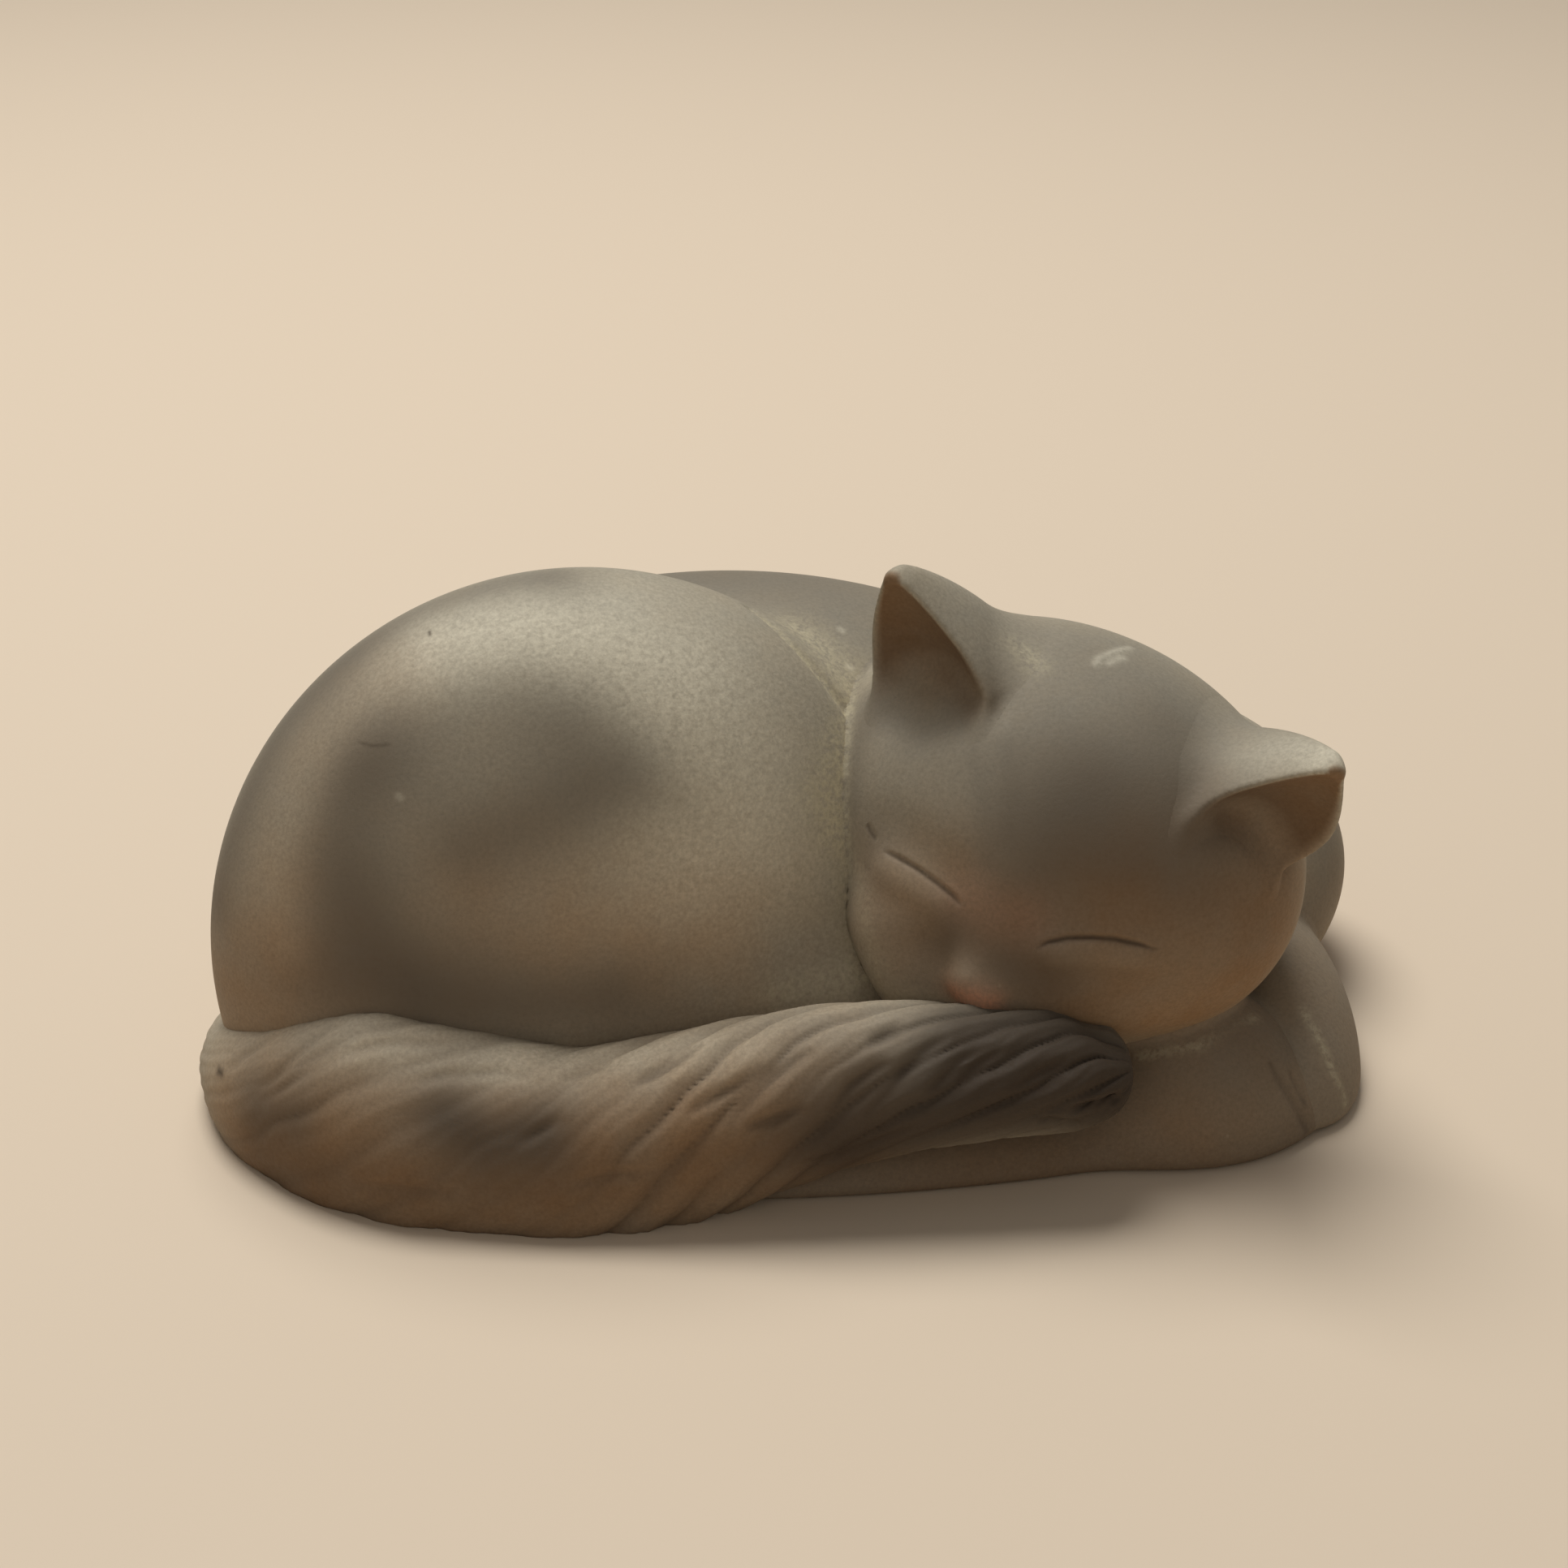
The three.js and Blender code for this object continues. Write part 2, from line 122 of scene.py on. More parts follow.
# Body casting
# The hollow, slip-cast torso: back, shoulder, folded haunch and hind foot in one skin of matte
# porcelain, flat underneath, with the pour hole in its floor. The markings are sprayed on, with painted
# shade on the shoulder, tan low down that is partly painted warm bounce light, and a painted highlight on the
# light band.
BACK_MIDDLE = np.array([-7.521, 9.076, 0])
BACK_HALF = (40, 21.5, 27.2)
SHOULDER_HALF = (29, 19, 18.5)
HAUNCH_HALF = (30.75, 17, 33)
FOOT_HALF = (20, 8, 10)
BACK_SPOT = BACK_MIDDLE + (0, 0, 12)
SHOULDER_SPOT = BACK_MIDDLE + (30, 0, 9)
HAUNCH_SPOT = BACK_MIDDLE + (-11.8, -10, 12)
FOOT_SPOT = BACK_MIDDLE + (6, -18.5, 5)
SHOULDER_BLEND = 8
FOOT_BLEND = 6
HAUNCH_CREASE = 2
BODY_WALL = 3.2
FLOOR_WALL = 3
POUR_HOLE_RADIUS = 8
BASE_ROUNDING = 1.6
BODY_MESH_STEP = 0.6
BODY_BLOCK = ((-51.5, -20, -1), (53, 32.5, 47))
HOLE_EDGE = 0.8
CREASE_DEEP = 0.45
CREASE_WIDE = 0.55
LOW_TAN_AND_BOUNCE = 0.5
LOW_TAN_AND_BOUNCE_TOP = 22

# Clay tones and paints. The smoke and umber colours are sprayed grey and brown, and they also serve as
# painted shade. The pale colour is pale clay for scuffs, and it is also painted highlight. The tan colour is
# tan spray, and it is also painted warm light bounced up from the floor.
CLAY_COOL = (0.385, 0.350, 0.272, 1)
CLAY_WARM = (0.410, 0.358, 0.265, 1)
PALE_AND_HIGHLIGHT = (0.69, 0.64, 0.505, 1)
TAN_AND_BOUNCE_LIGHT = (0.335, 0.188, 0.084, 1)
SMOKE_AND_SHADE = (0.080, 0.063, 0.046, 1)
PINK = (0.46, 0.215, 0.125, 1)
UMBER_AND_SHADE = (0.040, 0.024, 0.013, 1)
DUST = (0.56, 0.50, 0.34, 1)

# Paths of the airbrush, of painted shade and highlight, and of the modelling tools are given as they cross
# the photograph.
HAUNCH_ARC = [(480, 1190), (434, 1099), (417, 1036), (425, 985), (450, 940)]
HAUNCH_ARC_TOP = [(450, 940), (500, 890), (570, 852), (640, 845), (700, 868)]
HAUNCH_WASH = [(560, 960), (640, 950), (700, 930)]
HAUNCH_CURL = [(578, 1043), (640, 1020), (700, 990), (765, 950)]
HAUNCH_CURL_TOP = [(680, 905), (745, 922)]
HAUNCH_LEFT_DARK = [(440, 1110), (470, 1175), (560, 1200)]
HAUNCH_LOW = [(400, 1200), (560, 1220), (760, 1222), (800, 1220)]
HAUNCH_LOW_DARK = [(520, 1232), (600, 1238), (674, 1236), (750, 1226)]
RIM_LEFT = [(262, 1230), (268, 1100), (296, 1000), (360, 880), (455, 792), (575, 736), (670, 716)]
BACK_GREY = [(880, 718), (980, 730), (1070, 760)]
HAUNCH_TAN = [(620, 1140), (740, 1160), (860, 1150)]
LOW_LEFT = [(276, 1222), (330, 1214), (400, 1200)]
SHOULDER_SHADE = [(1630, 1010), (1640, 1070), (1622, 1120)]
LIGHT_BAND_LEFT = [(350, 1160), (345, 1060), (395, 925), (470, 840)]
# The light band is lighter spray round the dark curl. At its top it is also a painted highlight, where the
# light falls strongest on the haunch.
LIGHT_BAND_TOP = [(540, 800), (640, 778), (740, 795), (830, 845)]
LIGHT_RIGHT = [(850, 880), (910, 950), (920, 1030), (860, 1060)]
CREASE_LINE = [(926, 750), (977, 793), (1023, 847), (1057, 893)]
CREASE_SIDE = [(985, 780), (1030, 825), (1062, 870)]
NECK_DUST = [(1056, 896), (1036, 930), (1020, 975), (1028, 1008)]
NECK_DUST_LOW = [(1040, 1040), (1052, 1110), (1062, 1195)]
TAIL_TOP_DUST = [(960, 1222), (1010, 1214), (1060, 1205)]
WHITE_SPECKS = [(491, 981), (1035, 775), (1045, 821)]
SCUFFS = [(782, 828), (800, 838), (812, 846)]
DARK_SPECK = [(529, 779), (530, 782)]
HAIRLINE = [(440, 914), (460, 919), (484, 917)]
FLANK_STRIPES = [
    [(-27, 14, 38), (-34, 21, 31), (-39, 24, 21), (-40, 24, 10)],
    [(-13, 16, 40), (-19, 25, 33), (-23, 29, 22), (-23, 30, 9)],
    [(2, 17, 38), (-2, 25, 32), (-6, 30, 21), (-5, 30, 8)],
    [(17, 16, 34), (14, 24, 27), (11, 28, 18), (12, 28, 8)],
    [(31, 14, 27), (30, 20, 22), (28, 25, 14)],
]
SPINE = [(-34, 12, 34), (-16, 14, 39), (4, 14, 38), (24, 14, 30), (38, 12, 24)]


def oval(points, middle, half):
    """Each point's distance from an oval, near enough, and below zero inside it."""
    unit = (points - middle) / np.asarray(half)
    reach = np.linalg.norm(unit, axis=-1)
    slope = np.linalg.norm(unit / np.asarray(half), axis=-1)
    return reach * (reach - 1) / np.maximum(slope, 1e-6)


def join(a, b, width):
    """Two shapes as one, with the corner between them filled as if by a thumb."""
    near = np.maximum(width - np.abs(a - b), 0) / width
    return np.minimum(a, b) - near * near * width / 4


def cut(a, b, width):
    """The first shape without the second, with its edge rounded off."""
    return -join(-a, b, width)


def body_plain(points):
    back = oval(points, BACK_SPOT, BACK_HALF)
    shoulder = oval(points, SHOULDER_SPOT, SHOULDER_HALF)
    haunch = oval(points, HAUNCH_SPOT, HAUNCH_HALF)
    foot = oval(points, FOOT_SPOT, FOOT_HALF)
    return join(join(back, shoulder, SHOULDER_BLEND), join(haunch, foot, FOOT_BLEND), HAUNCH_CREASE)


def sight_lines(pixels):
    """Directions from the camera through the photograph's pixels."""
    pixels = np.asarray(pixels, float)
    across = (pixels[:, 0] - PHOTO_SIDE / 2) / FOCAL_PIXELS
    down = (pixels[:, 1] - PHOTO_SIDE / 2) / FOCAL_PIXELS
    ways = np.stack([across, -down, -np.ones(len(pixels))], 1) @ camera_turn.T
    return ways / np.linalg.norm(ways, axis=1, keepdims=True)


def seen_on(shape, pixels):
    """Where sight lines through the photograph's pixels first meet a shape."""
    ways = sight_lines(pixels)
    reach = np.full(len(pixels), SIGHT_START)
    for _ in range(SIGHT_STEPS):
        reach = np.minimum(reach + SIGHT_CARE * shape(CAMERA_SPOT + ways * reach[:, None]), SIGHT_END)
    return CAMERA_SPOT + ways * reach[:, None]


def gap_to(points, path):
    """Each point's distance from a path, and how far along the path it is, from 0 to 1."""
    best = np.full(len(points), 1e9)
    along = np.zeros(len(points))
    steps = len(path) - 1
    for i in range(steps):
        run = path[i + 1] - path[i]
        share = np.clip((points - path[i]) @ run / max(run @ run, 1e-9), 0, 1)
        far = np.linalg.norm(points - path[i] - share[:, None] * run, axis=1)
        nearer = far < best
        best = np.where(nearer, far, best)
        along = np.where(nearer, (i + share) / steps, along)
    return best, along


def spray(points, path, radius, strength):
    """How strongly one airbrush pass, or one pass of painted shade or highlight, along a path covers each
    point.
    """
    return strength * np.exp(-((gap_to(points, path)[0] / radius) ** 2))


def fine_line(points, path, radius, strength):
    """A thin painted or scratched line, or a thin line of painted shade, that tapers to both ends."""
    far, along = gap_to(points, path)
    ends = np.clip(np.minimum(along, 1 - along) / 0.2, 0, 1)
    return strength * ends ** 0.5 * np.exp(-((far / (radius * (0.55 + 0.45 * ends))) ** 2))


def layer(*passes):
    """How much of each point is covered once every pass is on."""
    bare = 1
    for cover in passes:
        bare = bare * (1 - cover)
    return 1 - bare


def slope_of(shape, points, step=0.02):
    slopes = []
    for axis in np.eye(3) * step:
        slopes.append((shape(points + axis) - shape(points - axis)) / (2 * step))
    return np.stack(slopes, 1)


def settle(shape, points, rounds=3):
    """Pulls points on to the place where the shape's distance is zero."""
    for _ in range(rounds):
        slope = slope_of(shape, points)
        steep = np.maximum((slope * slope).sum(1), 0.05)
        move = np.clip(shape(points) / steep, -0.6, 0.6)
        points = points - move[:, None] * slope
    return points


def skin(shape, low, high, pitch):
    """Points and triangles of the closed surface where the shape's distance is zero."""
    axes = [np.arange(low[i], high[i] + pitch, pitch) for i in range(3)]
    block = np.stack(np.meshgrid(*axes, indexing="ij"), -1)
    level = shape(block.reshape(-1, 3)).reshape(block.shape[:3])
    grid = openvdb.FloatGrid(10.0)
    grid.copyFromArray(level.astype(np.float32))
    points, quads = grid.convertToQuads(0.0)
    quads = np.asarray(quads, int)
    corners = np.concatenate([quads[:, [0, 1, 2]], quads[:, [0, 2, 3]]])
    return np.asarray(low) + pitch * np.asarray(points, float), corners


def refine(points, corners, wanted):
    """Splits every edge that touches a wanted point, so fine work there has enough faces."""
    ends = np.sort(np.stack([corners, np.roll(corners, -1, 1)], -1).reshape(-1, 2), 1)
    edges, place = np.unique(ends, axis=0, return_inverse=True)
    split = wanted[edges].any(1)
    number = np.where(split, len(points) + np.cumsum(split) - 1, -1)
    middles = number[place.reshape(-1, 3)]
    more = np.concatenate([points, points[edges[split]].mean(1)])
    count = (middles >= 0).sum(1)
    # a, b and c are a triangle's corners, and m, n and o the middles of its sides.
    made = [corners[count == 0]]
    for first in range(3):
        turned = np.roll(corners, -first, 1)
        halves = np.roll(middles, -first, 1)
        one = (count == 1) & (halves[:, 0] >= 0)
        a, b, c = turned[one].T
        m = halves[one, 0]
        made += [np.stack([a, m, c], 1), np.stack([m, b, c], 1)]
        two = (count == 2) & (halves[:, 2] < 0)
        a, b, c = turned[two].T
        m, n = halves[two, 0], halves[two, 1]
        made += [np.stack([m, b, n], 1), np.stack([a, m, n], 1), np.stack([a, n, c], 1)]
    a, b, c = corners[count == 3].T
    m, n, o = middles[count == 3].T
    made += [np.stack([a, m, o], 1), np.stack([m, b, n], 1), np.stack([o, n, c], 1), np.stack([m, n, o], 1)]
    return more, np.concatenate(made)


def make_piece(name, points, corners, paints, finish):
    mesh = bpy.data.meshes.new(name)
    mesh.vertices.add(len(points))
    mesh.vertices.foreach_set("co", (points * MM).astype(np.float32).ravel())
    mesh.loops.add(corners.size)
    mesh.loops.foreach_set("vertex_index", corners.astype(np.int32).ravel())
    mesh.polygons.add(len(corners))
    mesh.polygons.foreach_set("loop_start", np.arange(0, corners.size, 3, dtype=np.int32))
    mesh.update(calc_edges=True)
    mesh.validate()
    mesh.materials.append(finish)
    return paint_piece(name, mesh, paints)


def paint_piece(name, mesh, paints):
    mesh.shade_smooth()
    # Each attribute says how much of a paint covers each point: sprayed markings, dust and scuffs, and also
    # painted shade, highlight and warm bounce light.
    for paint in ("smoke_and_shade", "tan_and_bounce_light", "pink", "umber_and_shade", "dust", "pale_and_highlight"):
        kept = mesh.attributes.new(paint, "FLOAT", "POINT")
        cover = np.clip(paints.get(paint, np.zeros(len(mesh.vertices))), 0, 1)
        kept.data.foreach_set("value", cover.astype(np.float32))
    piece = bpy.data.objects.new(name, mesh)
    bpy.context.collection.objects.link(piece)
    return piece


def bisque(name):
    """Matte porcelain: two clay tones, sprayed paints together with painted shade, highlight and warm bounce
    light, all from the piece's own attributes, dust and grain.
    """
    finish = bpy.data.materials.new(name)
    finish.use_nodes = True
    tree = finish.node_tree
    shader = tree.nodes["Principled BSDF"]

    def add(kind, settings, sockets):
        made = tree.nodes.new(kind)
        for key, value in settings.items():
            setattr(made, key, value)
        for key, value in sockets.items():
            if isinstance(value, bpy.types.NodeSocket):
                tree.links.new(value, made.inputs[key])
            else:
                made.inputs[key].default_value = value
        return made

    def paint_of(attribute):
        return add("ShaderNodeAttribute", {"attribute_name": attribute}, {}).outputs["Fac"]

    def over(factor, below, above):
        mixed = add("ShaderNodeMix", {"data_type": "RGBA"}, {0: factor, 6: below, 7: above})
        return mixed.outputs[2]

    def times(a, b):
        return add("ShaderNodeMath", {"operation": "MULTIPLY", "use_clamp": True}, {0: a, 1: b}).outputs[0]

    def spread(value, low, high, to_low, to_high):
        sockets = {0: value, 1: low, 2: high, 3: to_low, 4: to_high}
        return add("ShaderNodeMapRange", {}, sockets).outputs[0]

    place = add("ShaderNodeTexCoord", {}, {}).outputs["Object"]
    grain = add("ShaderNodeTexNoise", {}, {"Vector": place, "Scale": 3000, "Detail": 3, "Roughness": 0.65})
    mottle = add("ShaderNodeTexNoise", {}, {"Vector": place, "Scale": 170, "Detail": 3, "Roughness": 0.55})
    crumbs = add("ShaderNodeTexNoise", {}, {"Vector": place, "Scale": 1800, "Detail": 4, "Roughness": 0.7})
    specks = add("ShaderNodeTexVoronoi", {}, {"Vector": place, "Scale": 420})
    grain = grain.outputs["Fac"]
    mottle = mottle.outputs["Fac"]
    crumbs = crumbs.outputs["Fac"]
    colour = over(spread(mottle, 0.3, 0.7, 0, 1), CLAY_COOL, CLAY_WARM)
    colour = over(times(paint_of("pale_and_highlight"), spread(crumbs, 0.3, 0.6, 0.5, 1.1)), colour, PALE_AND_HIGHLIGHT)
    colour = over(times(paint_of("tan_and_bounce_light"), spread(mottle, 0.3, 0.7, 0.8, 1.1)), colour, TAN_AND_BOUNCE_LIGHT)
    colour = over(times(paint_of("smoke_and_shade"), spread(grain, 0.3, 0.7, 0.88, 1.06)), colour, SMOKE_AND_SHADE)
    colour = over(times(paint_of("pink"), spread(grain, 0.3, 0.7, 0.8, 1.1)), colour, PINK)
    colour = over(paint_of("umber_and_shade"), colour, UMBER_AND_SHADE)
    colour = over(times(paint_of("dust"), spread(crumbs, 0.38, 0.56, 0, 1)), colour, DUST)
    toned = add("ShaderNodeMix", {"data_type": "RGBA", "blend_type": "MULTIPLY"},
                {0: 1.0, 6: colour, 7: spread(grain, 0.25, 0.75, 0.82, 1.18)})
    near_speck = spread(specks.outputs["Distance"], 0.05, 0.09, 1, 0)
    few = spread(specks.outputs["Color"], 0.9, 0.94, 0, 0.45)
    colour = over(times(near_speck, few), toned.outputs[2], DUST)
    tree.links.new(colour, shader.inputs["Base Color"])
    tree.links.new(spread(crumbs, 0.3, 0.7, 0.66, 0.84), shader.inputs["Roughness"])
    shader.inputs["Specular IOR Level"].default_value = 0.3
    bump = add("ShaderNodeBump", {}, {"Strength": 0.35, "Distance": 0.00008, "Height": grain})
    tree.links.new(bump.outputs["Normal"], shader.inputs["Normal"])
    return finish


def body_path(pixels):
    return seen_on(body_plain, pixels)


crease_path = body_path(CREASE_LINE)


def body_outside(points):
    crease, _ = gap_to(points, crease_path)
    return body_plain(points) + CREASE_DEEP * np.exp(-((crease / CREASE_WIDE) ** 2))


def body_shape(points):
    standing = cut(body_outside(points), points[:, 2], BASE_ROUNDING)
    hollow = np.maximum(body_plain(points) + BODY_WALL, FLOOR_WALL - points[:, 2])
    round_hole = np.linalg.norm(points[:, :2] - BACK_MIDDLE[:2], axis=1) - POUR_HOLE_RADIUS
    hole = np.maximum(round_hole, points[:, 2] - FLOOR_WALL - 1)
    return cut(np.maximum(standing, -hollow), hole, HOLE_EDGE)


body_points, body_corners = skin(body_shape, *BODY_BLOCK, BODY_MESH_STEP)
for fine in (2.0, 1.2):
    body_points, body_corners = refine(body_points, body_corners, gap_to(body_points, crease_path)[0] < fine)
specks_path = [body_path([speck, (speck[0] + 3, speck[1] + 2)]) for speck in WHITE_SPECKS + SCUFFS]
fine_paths = specks_path + [body_path(DARK_SPECK), body_path(HAIRLINE)]
for fine in (1.2, 0.7):
    near_marks = np.min([gap_to(body_points, path)[0] for path in fine_paths], axis=0)
    body_points, body_corners = refine(body_points, body_corners, near_marks < fine)
body_points = settle(body_shape, body_points)


def body_coat(points):
    """The body's sprayed markings, its painted shade and highlight, and its dust, also used where slip runs
    on to the body.
    """

    def puff(pixels, radius, strength):
        return spray(points, body_path(pixels), radius, strength)

    def stripe(spots, radius, strength):
        """A pass on the far side, along points given in millimetres near the body."""
        knots = np.array(spots, float)
        steps = np.linspace(0, len(knots) - 1, 12)
        run = np.stack([np.interp(steps, np.arange(len(knots)), knots[:, k]) for k in range(3)], 1)
        return fine_line(points, settle(body_plain, run, 30), radius, strength)

    smoke_and_shade = layer(
        puff(HAUNCH_ARC, 4.8, 0.48),
        puff(HAUNCH_ARC_TOP, 4.4, 0.36),
        puff(HAUNCH_WASH, 9.0, 0.2),
        puff(HAUNCH_CURL, 3.8, 0.47),
        puff(HAUNCH_CURL_TOP, 4.6, 0.12),
        puff(HAUNCH_LEFT_DARK, 6.5, 0.38),
        puff(HAUNCH_LOW, 4.6, 0.36),
        puff(HAUNCH_LOW_DARK, 3.0, 0.45),
        puff(LOW_LEFT, 6.0, 0.3),
        puff(SHOULDER_SHADE, 6.0, 0.5),
        puff(RIM_LEFT, 4.0, 0.66),
        puff(BACK_GREY, 9.0, 0.42),
        stripe(SPINE, 7.0, 0.4),
        *[stripe(spots, 4.2, 0.42) for spots in FLANK_STRIPES],
    )
    # Smoke is kept off the light band. At the band's top this is also a painted highlight.
    bare = layer(puff(LIGHT_BAND_LEFT, 2.6, 0.4), puff(LIGHT_BAND_TOP, 4.5, 0.8))
    # Tan that grows towards the floor: partly tan spray and partly painted warm light bounced up from the
    # floor.
    low_down = LOW_TAN_AND_BOUNCE * np.clip(1 - points[:, 2] / LOW_TAN_AND_BOUNCE_TOP, 0, 1)
    return {
        "smoke_and_shade": smoke_and_shade * (1 - bare),
        "tan_and_bounce_light": layer(
            puff(HAUNCH_TAN, 8.0, 0.45),
            puff(LOW_LEFT, 8.0, 0.5),
            puff(LIGHT_BAND_LEFT, 5.0, 0.25),
            low_down,
        ),
        "dust": layer(
            spray(points, crease_path, 0.5, 1.0),
            puff(CREASE_SIDE, 2.6, 0.6),
            puff(NECK_DUST, 2.4, 0.85),
            puff(NECK_DUST_LOW, 1.6, 0.45),
            puff(TAIL_TOP_DUST, 1.5, 0.35),
        ),
        "pale_and_highlight": layer(
            puff(LIGHT_BAND_LEFT, 2.4, 0.2),
            # The band's top is painted pale as a highlight as well as lighter spray.
            puff(LIGHT_BAND_TOP, 5.2, 0.95),
            puff(LIGHT_RIGHT, 6.5, 0.75),
            *[spray(points, path, 0.3, 0.9) for path in specks_path],
        ),
        "umber_and_shade": layer(puff(DARK_SPECK, 0.16, 0.7), fine_line(points, body_path(HAIRLINE), 0.16, 0.35)),
    }


body_paints = body_coat(body_points)
body_bisque = bisque("body_bisque")
body = make_piece("body", body_points, body_corners, body_paints, body_bisque)
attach(body, "root")
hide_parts("body_casting")

# Head casting
# The slip-cast head, pushed on to the body by its neck and smoothed round with a bead of slip. Skull
# and muzzle are one, with the closed eyes pressed in as fine lines and the face sprayed tan and grey.
# There is painted shade in its creases and on its sides turned from the light, and there are painted
# highlights on nose, muzzle and lids.
HEAD_MIDDLE = np.array([20.079, -7.688, 22.4])
HEAD_PITCH = math.radians(18)
HEAD_ROLL = math.radians(21)
HEAD_YAW = math.radians(27)
SKULL_HALF = (21.2, 16.5, 17.25)
MUZZLE_SPOT = (0, -11.5, -6)
MUZZLE_HALF = (8.5, 6.5, 6)
FACE_BLEND = 7
HEAD_BEAD = 0.5
LUTED_DEEP = 0.7
LUTED_INSET = 0.04
BEAD_SPREAD = 0.94
HEAD_BLOCK = ((-3, -28, 2), (45, 6, 43))
SEAM_WIDTH = 0.6
SEAM_DUST = 0.6
SEAM_SHADE = 0.5
HEAD_MESH_STEP = 0.5

LEFT_EYE = [(1088, 1048), (1108, 1058), (1132, 1072), (1156, 1089), (1174, 1104), (1185, 1116)]
LEFT_EYE_TICK = [(1068, 1014), (1072, 1024), (1080, 1036)]
LEFT_EYE_TURN = [(1062, 1052), (1067, 1066), (1073, 1076)]
RIGHT_EYE = [(1276, 1169), (1292, 1161), (1314, 1156), (1344, 1155), (1374, 1157), (1402, 1163), (1428, 1170)]
LEFT_LID = [(1096, 1074), (1122, 1088), (1156, 1112)]
RIGHT_LID = [(1300, 1177), (1348, 1173), (1402, 1182)]
LEFT_BROW = [(1096, 1020), (1134, 1042), (1174, 1072)]
RIGHT_BROW = [(1270, 1128), (1330, 1118), (1400, 1124)]
NOSE = [(1190, 1208), (1206, 1226)]
NOSE_PINK = [(1178, 1226), (1198, 1232), (1218, 1239)]
NOSE_HIGHLIGHT = [(1189, 1198), (1196, 1202)]
NOSE_LEFT = [(1150, 1165), (1160, 1195), (1166, 1222)]
RIGHT_EAR_DENT = [(1515, 992), (1550, 1012), (1580, 1046)]
LEFT_EAR_DENT = [(1104, 880), (1140, 894), (1184, 882), (1210, 864)]
LEFT_CHEEK = [(1082, 1150), (1096, 1190), (1108, 1212)]
MUZZLE_DIP = [(1296, 1216), (1345, 1226), (1410, 1228)]
MUZZLE_PUFF = [(1310, 1246), (1366, 1254), (1420, 1254)]
BRIDGE_GREY = [(1176, 1150), (1210, 1166), (1250, 1186), (1300, 1208)]
BRIDGE_DARK = [(1250, 1190), (1276, 1200)]
BRIDGE_LEFT = [(1172, 1150), (1160, 1180)]
FOREHEAD_GREY = [(1347, 965), (1322, 1005), (1290, 1046), (1276, 1085)]
FOREHEAD_WIDE = [(1330, 1000), (1370, 1050), (1440, 1070)]
BROW_SHADE = [(1420, 1050), (1490, 1086), (1552, 1120)]
CHEEK_SHADE = [(1390, 1206), (1460, 1196), (1540, 1172)]
EAR_SIDE_SHADE = [(1440, 900), (1446, 960), (1470, 1000)]
FOREHEAD_LEFT = [(1252, 940), (1250, 1030)]
BROW_STRIPE = [(1200, 930), (1212, 985), (1218, 1060)]
BROW_STRIPE_RIGHT = [(1240, 920), (1246, 970), (1240, 1030)]
FACE_WASH = [(1180, 930), (1260, 960), (1330, 1050)]
CROWN_GREY = [(1330, 800), (1430, 840), (1500, 895)]
CHEEK_TAN = [(1320, 1236), (1410, 1256), (1500, 1236), (1560, 1180)]
BROW_TAN = [(1390, 1100), (1470, 1130), (1550, 1140)]
LEFT_TAN = [(1105, 1110), (1140, 1150)]
EYE_CORNER_PINK = [(1192, 1104), (1222, 1122), (1262, 1130)]
LEFT_CHEEK_SHADE = [(1072, 1050), (1078, 1100), (1098, 1150), (1126, 1200)]
CROWN_SCUFF = [(1348, 824), (1356, 812), (1374, 804), (1398, 798)]
CROWN_DAB = [(1366, 816), (1382, 810)]
EAR_ROOT_SCUFF = [(1240, 800), (1262, 806), (1276, 820)]
LEFT_HOLLOW = [(1150, 800), (1176, 838), (1200, 866)]
LEFT_HOLLOW_LOW = [(1108, 838), (1140, 850)]
RIGHT_HOLLOW = [(1500, 996), (1540, 1006), (1564, 1022)]
HEAD_CREVICE = [(1074, 864), (1062, 895), (1050, 930), (1046, 985)]
CREVICE_LOW = [(1052, 1060), (1066, 1130), (1080, 1190)]
CHIN_DUST = [(1410, 1294), (1477, 1280), (1545, 1246)]


def turn_about(axis, angle):
    return np.array(Euler([angle if axis == i else 0 for i in range(3)]).to_matrix())


head_turn = turn_about(1, HEAD_ROLL) @ turn_about(2, -HEAD_YAW) @ turn_about(0, HEAD_PITCH)


def in_head(points):
    return (points - HEAD_MIDDLE) @ head_turn


def head_plain(points):
    local = in_head(points)
    return join(oval(local, (0, 0, 0), SKULL_HALF), oval(local, MUZZLE_SPOT, MUZZLE_HALF), FACE_BLEND)


def head_path(pixels):
    return seen_on(head_plain, pixels)


def stroke(points, path, width, height, fade=0):
    """Relief along a path, raised or pressed in. A tool's cut fades out over a share of its length."""
    far, along = gap_to(points, path)
    relief = height * np.exp(-((far / width) ** 2))
    if fade:
        ends = np.clip(np.minimum(along, 1 - along) / fade, 0, 1)
        relief = relief * ends * (2 - ends)
    return relief


face_relief = [
    (head_path(LEFT_EYE), 0.26, -0.34, 0.3),
    (head_path(LEFT_EYE_TICK), 0.24, -0.2, 0.4),
    (head_path(RIGHT_EYE), 0.28, -0.36, 0.3),
    (head_path(LEFT_LID), 1.5, 0.5),
    (head_path(RIGHT_LID), 1.4, 0.75),
    (head_path(LEFT_BROW), 2.2, -0.4),
    (head_path(RIGHT_BROW), 2.4, -0.4),
    (head_path(NOSE), 1.8, 1.65),
    (head_path(LEFT_CHEEK), 3.8, 1.9),
    (head_path(NOSE_LEFT), 1.7, -0.7),
    (head_path(MUZZLE_DIP), 2.4, -0.35),
    (head_path(MUZZLE_PUFF), 2.6, 0.4),
    (head_path(RIGHT_EAR_DENT), 2.2, -1.3),
    (head_path(LEFT_EAR_DENT), 2.0, -0.7),
    (head_path(CROWN_SCUFF), 0.35, 0.12, 0.3),
]


